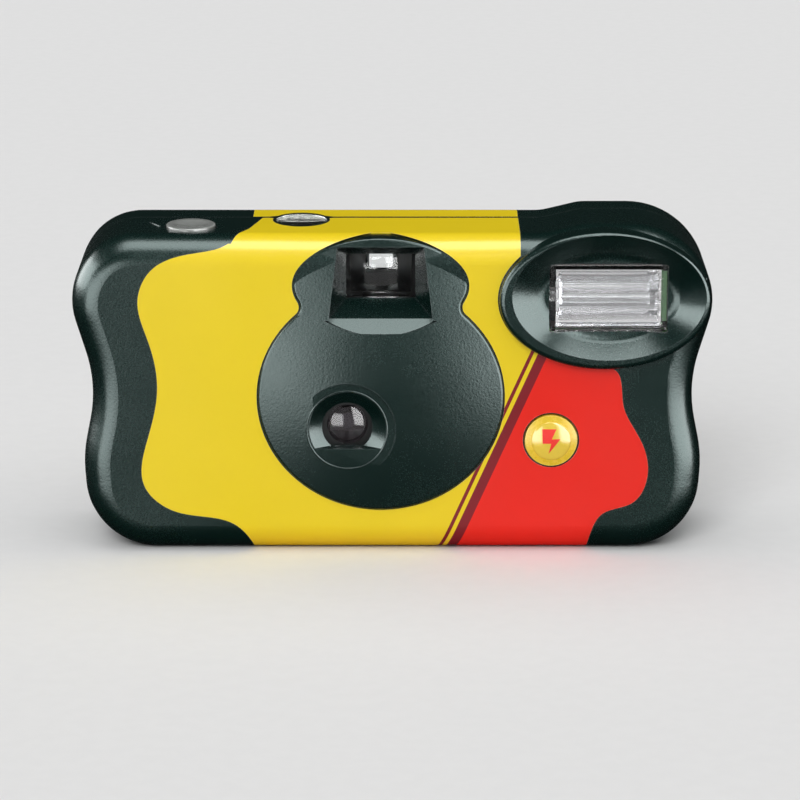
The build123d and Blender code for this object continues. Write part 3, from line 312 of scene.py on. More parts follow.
def drawn_lines_group():
    """Fine lines along X, as rolled or drawn metal has."""
    group, start, end = effect_group(
        "Drawn lines",
        [("Lines per Metre", "NodeSocketFloat", 4000.0)],
        [("Height", "NodeSocketFloat"), ("Shade", "NodeSocketFloat")],
    )
    inputs = {"Vector": place_coordinates(group), "Scale": (0.02, 1.0, 1.0)}
    stretched = place(group, "ShaderNodeMapping", inputs).outputs["Vector"]
    lines = noise(group, stretched, start.outputs["Lines per Metre"], 3.0)
    group.links.new(lines, end.inputs["Height"])
    group.links.new(ramp(group, lines, 0.3, 0.7), end.inputs["Shade"])
    return group


def shared_group(name):
    """One of the effect groups, built the first time that it is asked for."""
    makers = {
        "Moulded grain": grain_group, "Edge wear and highlight": edge_wear_group,
        "Handling": handling_group, "Drawn lines": drawn_lines_group,
    }
    return bpy.data.node_groups.get(name) or makers[name]()


def effect(tree, name, inputs):
    """Places one of the effect groups with its own values."""
    node = place(tree, "ShaderNodeGroup", node_tree=shared_group(name))
    for key, value in inputs.items():
        node.inputs[key].default_value = value
    return node


def new_material(name, roughness=0.5, metallic=0.0, **sockets):
    """A material with the constant values on its own shader."""
    material = bpy.data.materials.new(name)
    material.use_nodes = True
    shader = material.node_tree.nodes["Principled BSDF"]
    shader.inputs["Roughness"].default_value = roughness
    shader.inputs["Metallic"].default_value = metallic
    for key, value in sockets.items():
        shader.inputs[key.replace("_", " ")].default_value = value
    return material, material.node_tree, shader


def add_bump(tree, shader, height, distance):
    bump = place(tree, "ShaderNodeBump", {"Height": height, "Distance": distance, "Strength": 1.0})
    tree.links.new(bump.outputs["Normal"], shader.inputs["Normal"])


def add_marks(tree, shader, roughness, **inputs):
    """Lets the handling marks change the gloss round one roughness, and returns their node."""
    marks = effect(tree, "Handling", {key.replace("_", " "): value for key, value in inputs.items()})
    gloss = maths(tree, "ADD", marks.outputs["Gloss Change"], roughness, clamp=True)
    tree.links.new(gloss, shader.inputs["Roughness"])
    return marks


def moulded_plastic(
    name, colour, roughness, grain_size, grain_depth,
    wear_and_highlight=0.3, wear_colour=None, wear_width=0.3 * mm, speckle=0.28, **sockets,
):
    """Grained plastic with speckled gloss, edges lightened as slight rubbing and as a painted edge
    highlight, and faint handling marks.
    """
    material, tree, shader = new_material(name, roughness, **sockets)
    grain = effect(tree, "Moulded grain", {"Grains per Metre": 1 / grain_size, "Softness": 0.8})
    edges = effect(tree, "Edge wear and highlight", {"Width": wear_width, "Amount": wear_and_highlight})
    speckled = blend_colour(tree, grain.outputs["Speckle"], faded(colour, 1 - speckle), colour)
    # Painted highlight: the edge colour lightens sharp edges, partly as rubbing and partly as a painted rim
    # highlight.
    lighter = wear_colour or tuple(min(1.0, share * 1.5 + 0.02) for share in colour[:3]) + (1.0,)
    worn_and_highlit = blend_colour(tree, edges.outputs["Mask"], speckled, lighter)
    tree.links.new(worn_and_highlit, shader.inputs["Base Color"])
    gloss_range = 0.06
    speckled_gloss = maths(tree, "MULTIPLY", grain.outputs["Speckle"], gloss_range)
    add_marks(tree, shader, maths(tree, "ADD", speckled_gloss, roughness - gloss_range / 2), Amount=0.14)
    add_bump(tree, shader, grain.outputs["Height"], grain_depth)
    return material


def printed_sheet(name, settings, with_field):
    """Varnished print: a yellow ground darkening towards the base as painted shade, edges lightened as
    rubbing and painted highlight, and on the front a slanted field with two stripes.
    """
    material, tree, shader = new_material(name, settings.roughness, IOR=1.5)
    where = place_coordinates(tree)
    parts = place(tree, "ShaderNodeSeparateXYZ", {"Vector": where})
    across, up = parts.outputs["X"], parts.outputs["Z"]
    # Painted shade: the ground turns darker orange towards the base, standing in for the shading on the
    # lower rounding.
    warm = ramp(tree, up, 0.0, settings.warm_height, 0.55, 0.0)
    colour = blend_colour(tree, warm, settings.ground, settings.warm)
    if with_field:
        slope = (settings.stripe_head - settings.stripe_foot) / settings.head_height
        edge = maths(tree, "ADD", maths(tree, "MULTIPLY", up, slope), settings.stripe_foot)
        beyond = maths(tree, "SUBTRACT", across, edge)
        bands = [
            (-settings.stripe_width - settings.line_gap - settings.line_width, settings.stripe),
            (-settings.stripe_width - settings.line_gap, None),
            (-settings.stripe_width, settings.stripe),
            (0.0, settings.field),
        ]
        ground = colour
        for start, shade in bands:
            inside = maths(tree, "GREATER_THAN", beyond, start)
            colour = blend_colour(tree, inside, colour, shade or ground)
    shade = ramp(tree, noise(tree, where, 60.0, 4.0), 0.3, 0.7, 0.965, 1.0, smooth=False)
    mottle = place(tree, "ShaderNodeCombineColor", {0: shade, 1: shade, 2: shade}).outputs[0]
    toned = blend_colour(tree, 1.0, colour, mottle, "MULTIPLY")
    # Painted highlight: the pale edge colour lightens the label's edges, partly as rubbing and partly as a
    # painted rim highlight.
    edges = effect(tree, "Edge wear and highlight", {"Width": 0.12 * mm, "Amount": 0.35})
    rubbed_and_highlit = blend_colour(tree, edges.outputs["Mask"], toned, ink(250, 240, 200))
    tree.links.new(rubbed_and_highlit, shader.inputs["Base Color"])
    add_marks(tree, shader, settings.roughness, Amount=0.12)
    add_bump(tree, shader, noise(tree, where, 700.0, 2.0), 0.006 * mm)
    return material


def clear_plastic(name, colour, roughness=0.03, transmission=1.0):
    """Clear moulded plastic with faint flow waves and specks."""
    material, tree, shader = new_material(name, roughness, IOR=1.49, Transmission_Weight=transmission)
    marks = add_marks(tree, shader, roughness, Patches_per_Metre=160.0, Amount=0.05)
    dusted = blend_colour(tree, marks.outputs["Dust"], colour, faded(colour, 0.9))
    tree.links.new(dusted, shader.inputs["Base Color"])
    add_bump(tree, shader, noise(tree, place_coordinates(tree), 220.0, 1.0), 0.004 * mm)
    return material


def sheet_metal(name, colour, roughness, lines=4000.0, **sockets):
    """Rolled or plated metal with fine lines and slight tarnish."""
    material, tree, shader = new_material(name, roughness, 1.0, **sockets)
    drawn = effect(tree, "Drawn lines", {"Lines per Metre": lines})
    tarnished = blend_colour(tree, drawn.outputs["Shade"], faded(colour, 0.82), colour)
    tree.links.new(tarnished, shader.inputs["Base Color"])
    add_marks(tree, shader, roughness, Patches_per_Metre=120.0, Amount=0.2)
    add_bump(tree, shader, drawn.outputs["Height"], 0.008 * mm)
    return material


def coated_film(name):
    """Film with a warm grey emulsion and faint lengthwise streaks."""
    material, tree, shader = new_material(name, 0.28, Coat_Weight=0.2)
    drawn = effect(tree, "Drawn lines", {"Lines per Metre": 1500.0})
    base = blend_colour(tree, drawn.outputs["Shade"], ink(118, 92, 84), ink(128, 101, 92))
    tree.links.new(base, shader.inputs["Base Color"])
    add_bump(tree, shader, drawn.outputs["Height"], 0.003 * mm)
    return material


def wound_wire(name, colour):
    """Enamelled wire: close level turns with a varnish."""
    material, tree, shader = new_material(name, 0.3, 0.7, Coat_Weight=0.5)
    inputs = {"Vector": place_coordinates(tree), "Scale": 900.0, "Distortion": 0.6}
    turns = place(tree, "ShaderNodeTexWave", inputs, bands_direction="Z").outputs["Fac"]
    tree.links.new(blend_colour(tree, turns, faded(colour, 0.35), colour), shader.inputs["Base Color"])
    add_bump(tree, shader, turns, 0.08 * mm)
    return material


def printed_board(name):
    """Laminate under solder resist, with copper tracks showing through."""
    material, tree, shader = new_material(name, 0.35, Coat_Weight=0.3)
    tracks = place(
        tree, "ShaderNodeTexVoronoi", {"Vector": place_coordinates(tree), "Scale": 260.0},
        feature="DISTANCE_TO_EDGE", distance="CHEBYCHEV",
    )
    mask = ramp(tree, tracks.outputs["Distance"], 0.10, 0.13)
    tree.links.new(blend_colour(tree, mask, ink(74, 120, 66), ink(34, 74, 38)), shader.inputs["Base Color"])
    add_bump(tree, shader, mask, -0.03 * mm)
    return material


def banded_sleeve(name, colour, band_colour, low, high):
    """A shrunk sleeve with one lighter band between two heights."""
    roughness = 0.3
    material, tree, shader = new_material(name, roughness, Coat_Weight=0.4)
    where = place_coordinates(tree)
    parts = place(tree, "ShaderNodeSeparateXYZ", {"Vector": where})
    above = maths(tree, "GREATER_THAN", parts.outputs["Z"], low)
    below = maths(tree, "LESS_THAN", parts.outputs["Z"], high)
    inside = maths(tree, "MULTIPLY", above, below)
    tree.links.new(blend_colour(tree, inside, colour, band_colour), shader.inputs["Base Color"])
    add_marks(tree, shader, roughness, Amount=0.15)
    add_bump(tree, shader, noise(tree, where, 500.0, 2.0), 0.02 * mm)
    return material


# Stage building

# Each soft box: the stage setting of its brightness, the direction it stands in, its half width and
# half height as shares of its distance, and the width of its soft edge.
SOFT_BOXES = (
    ("roof_light", (0.08, -0.25, 0.96), 0.48, 0.38, 0.10),
    ("far_light", (-0.96, 0.03, 0.26), 0.65, 0.27, 0.08),
    ("left_light", (-0.55, -0.83, -0.08), 0.42, 0.25, 0.07),
    ("right_light", (0.76, -0.60, 0.24), 0.80, 0.64, 0.08),
    ("front_light", (0.0, -0.98, -0.20), 0.45, 0.50, 0.40),
)


def soft_box(tree, ways, facing, half_width, half_height, edge, strength):
    """The light of one rectangular soft box, whose sizes are shares of its distance."""
    facing = Vector(facing).normalized()
    upward = Vector((0, 0, 1)) if abs(facing.z) < 0.9 else Vector((0, 1, 0))
    side = facing.cross(upward).normalized()
    ahead = dot_product(tree, ways, facing)
    light = maths(tree, "MULTIPLY", maths(tree, "GREATER_THAN", ahead, 0.0), strength)
    for axis, half in ((side, half_width), (side.cross(facing), half_height)):
        along = maths(tree, "DIVIDE", dot_product(tree, ways, axis), ahead)
        offset = maths(tree, "ABSOLUTE", along)
        light = maths(tree, "MULTIPLY", light, ramp(tree, offset, half + edge, half - edge))
    return light


def diffused_lamp(name, spread, strength, way):
    """A far lamp, as wide as its spread, that lights the scene but isn't mirrored in it."""
    light = bpy.data.lights.new(name, "SUN")
    light.angle = spread
    light.energy = strength
    lamp = bpy.data.objects.new(name, light)
    bpy.context.scene.collection.objects.link(lamp)
    lamp.location = way
    lamp.rotation_euler = (-way).to_track_quat("-Z", "Y").to_euler()
    lamp.visible_glossy = False


# Mesh building

def dress(names, material):
    """Gives the named solids one material."""
    for name in names:
        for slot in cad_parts[name].material_slots:
            slot.material = material


def finish_piece(name, mesh, material, body, smooth=True):
    """Puts a finished mesh on its body, with its material."""
    piece = bpy.data.objects.new(name, mesh)
    bpy.context.scene.collection.objects.link(piece)
    mesh.materials.clear()
    mesh.materials.append(material)
    for polygon in mesh.polygons:
        polygon.use_smooth = smooth
    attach(piece, body)
    return piece


def mesh_from(name, vertices, faces):
    mesh = bpy.data.meshes.new(name)
    mesh.from_pydata(vertices, [], faces)
    form = bmesh.new()
    form.from_mesh(mesh)
    bmesh.ops.recalc_face_normals(form, faces=form.faces)
    form.to_mesh(mesh)
    form.free()
    mesh.validate()
    return mesh


def turned_mesh(name, profile, count, place_point):
    """A closed turned form. The profile runs from the axis out and back to the axis."""
    vertices, faces, rings = [], [], []
    for reach, rise in profile:
        if reach == 0:
            rings.append([len(vertices)])
            vertices.append(place_point(0, 0, rise))
            continue
        ring = []
        for index in range(count):
            angle = 2 * pi * index / count
            ring.append(len(vertices))
            vertices.append(place_point(reach * cos(angle), reach * sin(angle), rise))
        rings.append(ring)
    for lower, upper in zip(rings, rings[1:]):
        for index in range(count):
            after = (index + 1) % count
            if len(lower) == 1:
                faces.append((lower[0], upper[index], upper[after]))
            elif len(upper) == 1:
                faces.append((lower[index], upper[0], lower[after]))
            else:
                faces.append((lower[index], upper[index], upper[after], lower[after]))
    return mesh_from(name, vertices, faces)


# Corners of the bolt from its middle, as shares of its height.
BOLT_CORNERS = (
    (-0.36, 0.50), (0.20, 0.50), (0.02, 0.10), (0.36, 0.10), (-0.10, -0.50), (0.00, -0.08), (-0.34, -0.08),
)
# Faces of a block whose four lower corners come before its four upper ones.
BLOCK_FACES = ((0, 1, 2, 3), (7, 6, 5, 4), (0, 4, 5, 1), (1, 5, 6, 2), (2, 6, 7, 3), (3, 7, 4, 0))


def blocks_mesh(name, blocks):
    """One mesh of closed blocks, each given by its lowest and highest corners."""
    vertices, faces = [], []
    for low, high in blocks:
        start = len(vertices)
        for up in (low[2], high[2]):
            vertices += [
                (low[0], low[1], up), (high[0], low[1], up), (high[0], high[1], up), (low[0], high[1], up),
            ]
        faces += [tuple(corner + start for corner in face) for face in BLOCK_FACES]
    return mesh_from(name, vertices, faces)


def round_edges(piece, width, segments):
    bevel = piece.modifiers.new("Rounded edges", "BEVEL")
    bevel.width = width
    bevel.segments = segments
    bevel.limit_method = "ANGLE"


# Operators

class CAMERA_OT_dress_shell(bpy.types.Operator):
    """Finish the black mouldings"""

    bl_idname = "film_camera.dress_shell"
    bl_label = "Dress Shell"

    def execute(self, context):
        settings = context.scene.film_camera_shell
        # The edge colour paints a thin highlight along the shell's edges, with slight rubbing.
        shell = moulded_plastic(
            "satin_black_shell", settings.colour, roughness=settings.roughness,
            grain_size=settings.grain_size, grain_depth=settings.grain_depth,
            wear_and_highlight=0.55, wear_colour=settings.wear_colour, wear_width=settings.wear_width,
            Specular_Tint=settings.gloss_tint,
        )
        dress(["front_cover", "rear_cover"], shell)
        wheel = moulded_plastic(
            "knurled_wheel_black", settings.colour, roughness=0.42,
            grain_size=settings.grain_size / 2, grain_depth=settings.grain_depth / 2,
            wear_and_highlight=0.8, wear_colour=settings.wear_colour,
        )
        dress(["thumbwheel"], wheel)
        return {"FINISHED"}


class CAMERA_OT_dress_print(bpy.types.Operator):
    """Finish the printed labels"""

    bl_idname = "film_camera.dress_print"
    bl_label = "Dress Labels"

    def execute(self, context):
        settings = context.scene.film_camera_print
        dress(["front_label"], printed_sheet("printed_front", settings, True))
        dress(["rear_label"], printed_sheet("printed_back", settings, False))
        return {"FINISHED"}


class CAMERA_OT_dress_clear(bpy.types.Operator):
    """Finish the clear lenses, windows and the light pipe"""

    bl_idname = "film_camera.dress_clear"
    bl_label = "Dress Clear Parts"

    def execute(self, context):
        dress(["counter_window"], clear_plastic("clear_counter", (0.94, 0.96, 0.96, 1.0)))
        finder = clear_plastic("clear_finder", (0.97, 0.98, 0.98, 1.0), roughness=0.01)
        dress(["finder_front_lens", "finder_eyepiece"], finder)
        dress(["flash_window"], clear_plastic("clear_prism", (0.97, 0.97, 0.97, 1.0), roughness=0.05))
        dress(["taking_lens"], clear_plastic("coated_lens", (0.93, 0.86, 0.90, 1.0), roughness=0.0))
        dress(["light_pipe"], clear_plastic("clear_pipe", (0.97, 0.90, 0.84, 1.0), roughness=0.08))
        dress(["ready_lamp"], clear_plastic("glow_lamp", (0.95, 0.62, 0.38, 1.0), roughness=0.05))
        tube = clear_plastic("flash_glass", (0.96, 0.97, 0.98, 1.0), roughness=0.04, transmission=0.9)
        dress(["flash_tube"], tube)
        return {"FINISHED"}


class CAMERA_OT_dress_buttons(bpy.types.Operator):
    """Finish the release button and the flash button"""

    bl_idname = "film_camera.dress_buttons"
    bl_label = "Dress Buttons"

    def execute(self, context):
        settings = context.scene.film_camera_trim
        grey = moulded_plastic(
            "cloudy_button", settings.button_colour, roughness=0.22, grain_size=1.2 * mm,
            grain_depth=0.004 * mm, wear_and_highlight=0.8, wear_colour=ink(222, 226, 222), wear_width=0.5 * mm,
            speckle=0.06, Coat_Weight=0.3,
        )
        dress(["release_button"], grey)
        disc = moulded_plastic(
            "flash_button_disc", settings.disc_colour, roughness=0.28, grain_size=1.0 * mm,
            grain_depth=0.004 * mm, wear_and_highlight=0.3, wear_colour=ink(252, 244, 180), speckle=0.05, Coat_Weight=0.25,
        )
        dress(["charge_button"], disc)
        return {"FINISHED"}


class CAMERA_OT_dress_inside(bpy.types.Operator):
    """Finish the pieces inside the housing"""

    bl_idname = "film_camera.dress_inside"
    bl_label = "Dress Inside"

    def execute(self, context):
        matt = moulded_plastic(
            "matt_black_frame", (0.006, 0.007, 0.007, 1.0), roughness=0.55, grain_size=0.25 * mm,
            grain_depth=0.012 * mm, wear_and_highlight=0.10, wear_colour=(0.03, 0.032, 0.032, 1.0),
            Specular_IOR_Level=0.22,
        )
        dress(["main_frame", "shutter_plate", "lens_seat", "lens_ring"], matt)
        spool = moulded_plastic(
            "smooth_spool_black", (0.02, 0.021, 0.022, 1.0), roughness=0.35, grain_size=0.4 * mm,
            grain_depth=0.008 * mm, wear_and_highlight=0.4,
        )
        dress(["cassette_spool", "supply_spool", "sprocket", "wheel_lock", "release_arm"], spool)
        dial = moulded_plastic(
            "dial_white", ink(226, 226, 218), roughness=0.4, grain_size=0.4 * mm,
            grain_depth=0.006 * mm, wear_and_highlight=0.2, wear_colour=ink(238, 238, 232),
        )
        dress(["counter_dial"], dial)
        steel = sheet_metal("thin_spring_steel", (0.56, 0.57, 0.58, 1.0), roughness=0.28)
        blackened = sheet_metal("blackened_blade", (0.045, 0.045, 0.05, 1.0), roughness=0.34)
        dress(["shutter_blade"], blackened)
        dress(["striker", "striker_spring", "charge_switch"], steel)
        dress(["battery_contact_minus", "battery_contact_plus"], steel)
        lacquer = sheet_metal(
            "lacquered_shell", (0.13, 0.135, 0.14, 1.0), roughness=0.32, lines=2500.0, Coat_Weight=0.4,
        )
        dress(["film_cassette"], lacquer)
        bright = sheet_metal("bright_reflector", (0.90, 0.90, 0.91, 1.0), roughness=0.16, lines=1800.0)
        dress(["flash_reflector"], bright)
        dress(["film_strip", "supply_roll"], coated_film("film_emulsion"))
        dress(["circuit_board"], printed_board("board_laminate"))
        dress(["transformer", "trigger_coil"], wound_wire("enamelled_wire", (0.60, 0.26, 0.10, 1.0)))
        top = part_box("flash_capacitor")[1].z
        sleeve = banded_sleeve(
            "capacitor_sleeve", ink(28, 34, 62), band_colour=ink(176, 182, 190),
            low=top - 5 * mm, high=top - 3.4 * mm,
        )
        dress(["flash_capacitor"], sleeve)
        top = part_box("battery")[1].z
        jacket = banded_sleeve(
            "battery_jacket", ink(38, 40, 44), band_colour=ink(150, 152, 156),
            low=top - 4 * mm, high=top + mm,
        )
        dress(["battery"], jacket)
        return {"FINISHED"}


class CAMERA_OT_add_flash_button_trim(bpy.types.Operator):
    """Add the raised pad and the bolt on the flash button"""

    bl_idname = "film_camera.add_flash_button_trim"
    bl_label = "Add Flash Button Trim"

    def execute(self, context):
        settings = context.scene.film_camera_trim
        low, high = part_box("charge_button")
        centre_x, centre_z, face_y = (low.x + high.x) / 2, (low.z + high.z) / 2, low.y
        radius, rise = settings.pad_radius, settings.pad_rise
        ball = (radius ** 2 + rise ** 2) / (2 * rise)

        def pad_front(reach):
            return face_y - rise + ball - sqrt(ball ** 2 - reach ** 2)

        steps, skirt, root = 12, 0.12 * mm, face_y + 0.6 * mm
        profile = [(radius * index / steps, pad_front(radius * index / steps)) for index in range(steps + 1)]
        profile += [(radius + skirt, face_y + skirt), (radius, root), (0, root)]
        pad_mesh = turned_mesh(
            "flash_button_pad", profile, 64, lambda x, z, y: (centre_x + x, y, centre_z + z),
        )
        pad = moulded_plastic(
            "flash_button_pad", settings.pad_colour, roughness=0.18, grain_size=1.2 * mm,
            grain_depth=0.004 * mm, wear_and_highlight=0.2, wear_colour=ink(253, 248, 205), speckle=0.04, Coat_Weight=0.5,
        )
        finish_piece("flash_button_pad", pad_mesh, pad, "charger")

        # Each side of the bolt is divided, so that the bolt follows the pad's curve.
        lift = settings.bolt_lift
        side_parts = 4
        outline = []
        for index, (x, z) in enumerate(BOLT_CORNERS):
            after_x, after_z = BOLT_CORNERS[(index + 1) % len(BOLT_CORNERS)]
            for part in range(side_parts):
                share = part / side_parts
                outline.append(((x + (after_x - x) * share), (z + (after_z - z) * share)))
        front, back = [], []
        for x, z in outline:
            across, up = x * settings.bolt_height, z * settings.bolt_height
            depth = pad_front(sqrt(across ** 2 + up ** 2))
            front.append((centre_x + across, depth - lift, centre_z + up))
            back.append((centre_x + across, depth + 2 * lift, centre_z + up))
        count = len(outline)
        faces = [tuple(range(count)), tuple(range(2 * count - 1, count - 1, -1))]
        for index in range(count):
            after = (index + 1) % count
            faces.append((index, after, count + after, count + index))
        bolt_mesh = mesh_from("flash_bolt", front + back, faces)
        form = bmesh.new()
        form.from_mesh(bolt_mesh)
        bmesh.ops.triangulate(form, faces=[face for face in form.faces if len(face.verts) > 4])
        form.to_mesh(bolt_mesh)
        form.free()
        red = context.scene.film_camera_print.field
        bolt = moulded_plastic(
            "bolt_red", red, roughness=0.35, grain_size=0.5 * mm, grain_depth=0.004 * mm,
            wear_and_highlight=0.1, wear_colour=ink(246, 110, 90), speckle=0.05,
        )
        finish_piece("flash_bolt", bolt_mesh, bolt, "charger", smooth=False)
        return {"FINISHED"}


class CAMERA_OT_add_reflector_trim(bpy.types.Operator):
    """Add the slanted end plates, the clips and the board's edge round the flash reflector"""

    bl_idname = "film_camera.add_reflector_trim"
    bl_label = "Add Reflector Trim"

    def execute(self, context):
        settings = context.scene.film_camera_trim
        low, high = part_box("flash_reflector")
        window_low, window_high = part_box("flash_window")
        middle_x, middle_z = (low.x + high.x) / 2, (low.z + high.z) / 2
        inner, thick = settings.sheet_inset, settings.sheet_thickness
        half_front = (high.z - low.z) / 2 - inner
        half_back = half_front * settings.end_back_share
        front, back = low.y + inner, high.y - inner
        vertices, faces = [], []
        for side, lean in ((-1, settings.left_lean), (1, settings.right_lean)):
            mouth = middle_x + side * ((high.x - low.x) / 2 - inner)
            for shift in (0, -side * thick):
                vertices += [
                    (mouth + shift, front, middle_z - half_front),
                    (mouth + shift, front, middle_z + half_front),
                    (mouth + shift - side * lean, back, middle_z + half_back),
                    (mouth + shift - side * lean, back, middle_z - half_back),
                ]
            faces += [tuple(corner + len(vertices) - 8 for corner in face) for face in BLOCK_FACES]
        bright = bpy.data.materials["bright_reflector"]
        ends = mesh_from("reflector_ends", vertices, faces)
        finish_piece("reflector_ends", ends, bright, "camera", smooth=False)

        behind = window_high.y + thick
        blocks = []
        rail = settings.clip_height / 5
        foot = window_low.z + thick
        top = foot + settings.clip_height
        blocks.append(((low.x, behind, foot), (high.x, behind + thick, foot + rail)))
        blocks.append(((low.x, behind, top - rail), (high.x, behind + thick, top)))
        for share in settings.clip_shares:
            start = low.x + share * (high.x - low.x)
            end = start + settings.clip_width
            blocks.append(((start, behind, foot + rail / 2), (end, behind + thick, top - rail / 2)))
        clips = blocks_mesh("reflector_clips", blocks)
        finish_piece("reflector_clips", clips, bright, "camera", smooth=False)

        corners = (high.x + thick, behind, low.z + inner), (window_high.x, behind + thick, high.z - inner)
        edge = blocks_mesh("board_edge", [corners])
        laminate = bpy.data.materials["board_laminate"]
        finish_piece("board_edge", edge, laminate, "camera", smooth=False)
        return {"FINISHED"}


class CAMERA_OT_add_lens_bead(bpy.types.Operator):
    """Add the thin raised bead on the lens panel, round the lens recess"""

    bl_idname = "film_camera.add_lens_bead"
    bl_label = "Add Lens Bead"

    def execute(self, context):
        settings = context.scene.film_camera_trim
        low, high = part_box("taking_lens")
        centre_x, centre_z = (low.x + high.x) / 2, (low.z + high.z) / 2
        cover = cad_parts["front_cover"]
        context.view_layer.update()
        # Each point of the bead lies where a straight line from the front meets the lens panel.
        surface = BVHTree.FromObject(cover, context.evaluated_depsgraph_get())
        to_cover = cover.matrix_world.inverted()
        way = to_cover.to_3x3() @ Vector((0, 1, 0))
        radius, rise, in_front = settings.bead_radius, settings.bead_rise, low.y - 20 * mm
        count, steps = 96, 4
        profile = [(cos(pi * step / steps), -rise * sin(pi * step / steps)) for step in range(steps + 1)]
        profile += [(-1, rise), (1, rise)]
        vertices, faces = [], []
        for index in range(count):
            angle = 2 * pi * index / count
            x, z = cos(angle), sin(angle)
            start = Vector((centre_x + radius * x, in_front, centre_z + radius * z))
            spot = surface.ray_cast(to_cover @ start, way)[0]
            if spot is None:
                raise RuntimeError("The lens panel has no surface under the bead.")
            depth = (cover.matrix_world @ spot).y
            for share, lift in profile:
                reach = radius + share * settings.bead_width / 2
                vertices.append((centre_x + reach * x, depth + lift, centre_z + reach * z))
        size = len(profile)
        for index in range(count):
            near, far = index * size, (index + 1) % count * size
            for corner in range(size):
                after = (corner + 1) % size
                faces.append((near + corner, near + after, far + after, far + corner))
        shell = bpy.data.materials["satin_black_shell"]
        finish_piece("lens_bead", mesh_from("lens_bead", vertices, faces), shell, "camera")
        return {"FINISHED"}


class CAMERA_OT_add_release_index(bpy.types.Operator):
    """Add the raised index line beside the release button"""

    bl_idname = "film_camera.add_release_index"
    bl_label = "Add Release Index"

    def execute(self, context):
        settings = context.scene.film_camera_trim
        top_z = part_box("rear_label")[1].z
        low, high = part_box("release_button")
        middle = Vector((low.x, (low.y + high.y) / 2, top_z))
        start = middle + Vector((*settings.index_start, 0))
        end = middle + Vector((*settings.index_end, 0))
        along = (end - start).normalized()
        side = Vector((-along.y, along.x, 0)) * settings.index_width / 2
        sink = Vector((0, 0, -0.2 * mm))
        rise = Vector((0, 0, 0.14 * mm))
        corners = [start - side, end - side, end + side, start + side]
        vertices = [tuple(corner + shift) for shift in (sink, rise) for corner in corners]
        shell = bpy.data.materials["satin_black_shell"]
        mesh = mesh_from("release_index", vertices, BLOCK_FACES)
        piece = finish_piece("release_index", mesh, shell, "camera")
        round_edges(piece, 0.08 * mm, 3)
        return {"FINISHED"}


class CAMERA_OT_add_dial_numbers(bpy.types.Operator):
    """Add plain numbers round the counter dial"""

    bl_idname = "film_camera.add_dial_numbers"
    bl_label = "Add Dial Numbers"

    def execute(self, context):
        settings = context.scene.film_camera_trim
        low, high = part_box("counter_dial")
        centre = Vector(((low.x + high.x) / 2, (low.y + high.y) / 2, high.z))
        numbers = list(range(0, settings.last_frame + 1, settings.numeral_step))
        black = moulded_plastic(
            "numeral_black", (0.02, 0.02, 0.022, 1.0), roughness=0.5, grain_size=0.3 * mm,
            grain_depth=0.003 * mm, wear_and_highlight=0.0,
        )
        form = bmesh.new()
        for index, number in enumerate(numbers):
            curve = bpy.data.curves.new("numeral", "FONT")
            curve.body = str(number)
            curve.size = settings.numeral_height
            curve.align_x = "CENTER"
            curve.align_y = "CENTER"
            curve.extrude = 0.02 * mm
            curve.resolution_u = 3
            holder = bpy.data.objects.new("numeral", curve)
            mesh = bpy.data.meshes.new_from_object(holder)
            angle = 2 * pi * index / len(numbers)
            turn = Matrix.Rotation(angle, 4, "Z")
            reach = Matrix.Translation((0, -settings.numeral_ring, 0))
            mesh.transform(Matrix.Translation(centre) @ turn @ reach)
            form.from_mesh(mesh)
            bpy.data.meshes.remove(mesh)
            bpy.data.objects.remove(holder)
            bpy.data.curves.remove(curve)
        numerals = bpy.data.meshes.new("dial_numbers")
        form.to_mesh(numerals)
        form.free()
        finish_piece("dial_numbers", numerals, black, "counter", smooth=False)
        return {"FINISHED"}


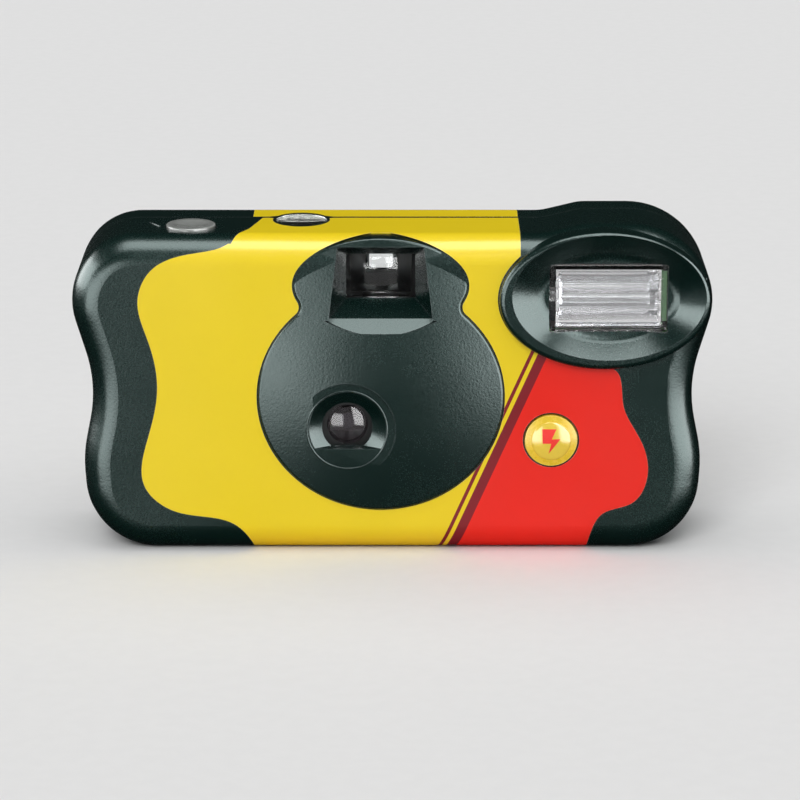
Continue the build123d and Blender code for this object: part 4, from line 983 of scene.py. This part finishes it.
class CAMERA_OT_build_stage(bpy.types.Operator):
    """Add the floor, the lights and the camera"""

    bl_idname = "film_camera.build_stage"
    bl_label = "Build Stage"

    def execute(self, context):
        settings = context.scene.film_camera_stage
        scene = context.scene
        scene.view_settings.view_transform = "Standard"
        scene.view_settings.look = "None"

        world = bpy.data.worlds.new("soft_studio")
        world.use_nodes = True
        tree = world.node_tree
        air = tree.nodes["Background"]
        ways = place(tree, "ShaderNodeTexCoord").outputs["Generated"]
        glow = settings.room_light
        for name, facing, half_width, half_height, edge in SOFT_BOXES:
            light = soft_box(tree, ways, facing, half_width, half_height, edge, getattr(settings, name))
            glow = maths(tree, "ADD", glow, light)
        white = place(tree, "ShaderNodeCombineColor", {0: 1.0, 1: 1.0, 2: 1.0})
        tree.links.new(white.outputs[0], air.inputs["Color"])
        tree.links.new(glow, air.inputs["Strength"])
        # The boxes are only mirrored. The two lamps light the matt surfaces.
        world.cycles_visibility.diffuse = False
        scene.world = world

        reach = settings.floor_reach
        corners = [(-reach, -reach, 0), (reach, -reach, 0), (reach, reach, 0), (-reach, reach, 0)]
        mesh = mesh_from("floor", corners, [(0, 1, 2, 3)])
        paper, tree, shader = new_material("pale_floor", 0.85, Specular_IOR_Level=0.0)
        tone = ramp(tree, noise(tree, place_coordinates(tree), 300.0, 3.0), 0.3, 0.7)
        pale = settings.floor_colour
        tree.links.new(blend_colour(tree, tone, faded(pale, 0.985), pale), shader.inputs["Base Color"])
        mesh.materials.append(paper)
        floor = bpy.data.objects.new("floor", mesh)
        scene.collection.objects.link(floor)
        floor.visible_glossy = False

        key_way, roof_way = Vector((-0.20, -0.80, 0.55)), Vector((0.0, -0.10, 1.0))
        diffused_lamp("key_front", settings.key_spread, settings.key_power, key_way)
        diffused_lamp("roof_lamp", settings.roof_spread, settings.roof_power, roof_way)

        lens = bpy.data.cameras.new("view")
        lens.lens = settings.lens
        lens.sensor_width = 36.0
        lens.clip_start = 0.01
        camera = bpy.data.objects.new("view", lens)
        scene.collection.objects.link(camera)
        back = Vector((0, -cos(settings.pitch), sin(settings.pitch)))
        camera.location = Vector(settings.aim) + back * settings.distance
        camera.rotation_euler = (-back).to_track_quat("-Z", "Y").to_euler()
        scene.camera = camera
        return {"FINISHED"}


class CAMERA_PT_looks(bpy.types.Panel):
    """Settings and steps of the film camera's looks"""

    bl_idname = "CAMERA_PT_looks"
    bl_label = "Film Camera"
    bl_space_type = "VIEW_3D"
    bl_region_type = "UI"
    bl_category = "Film Camera"

    def draw(self, context):
        for group in ("shell", "print", "trim", "stage"):
            box = self.layout.box()
            box.label(text=group.capitalize())
            settings = getattr(context.scene, "film_camera_" + group)
            for name in settings.bl_rna.properties.keys():
                if name not in ("rna_type", "name"):
                    box.prop(settings, name)
        for operator in operators:
            self.layout.operator(operator.bl_idname)


settings_groups = {
    "film_camera_shell": ShellSettings,
    "film_camera_print": PrintSettings,
    "film_camera_trim": TrimSettings,
    "film_camera_stage": StageSettings,
}
operators = [
    CAMERA_OT_dress_shell, CAMERA_OT_dress_print, CAMERA_OT_dress_clear, CAMERA_OT_dress_buttons,
    CAMERA_OT_dress_inside, CAMERA_OT_add_flash_button_trim, CAMERA_OT_add_reflector_trim,
    CAMERA_OT_add_lens_bead, CAMERA_OT_add_release_index, CAMERA_OT_add_dial_numbers, CAMERA_OT_build_stage,
]


def register():
    for name, group in settings_groups.items():
        bpy.utils.register_class(group)
        setattr(bpy.types.Scene, name, PointerProperty(type=group))
    for operator in operators:
        bpy.utils.register_class(operator)
    bpy.utils.register_class(CAMERA_PT_looks)


def unregister():
    bpy.utils.unregister_class(CAMERA_PT_looks)
    for operator in reversed(operators):
        bpy.utils.unregister_class(operator)
    for name, group in settings_groups.items():
        delattr(bpy.types.Scene, name)
        bpy.utils.unregister_class(group)


def main():
    """Registers the classes and runs every step in order."""
    register()
    for operator in operators:
        family, step = operator.bl_idname.split(".")
        getattr(getattr(bpy.ops, family), step)()


if __name__ == "__main__":
    main()
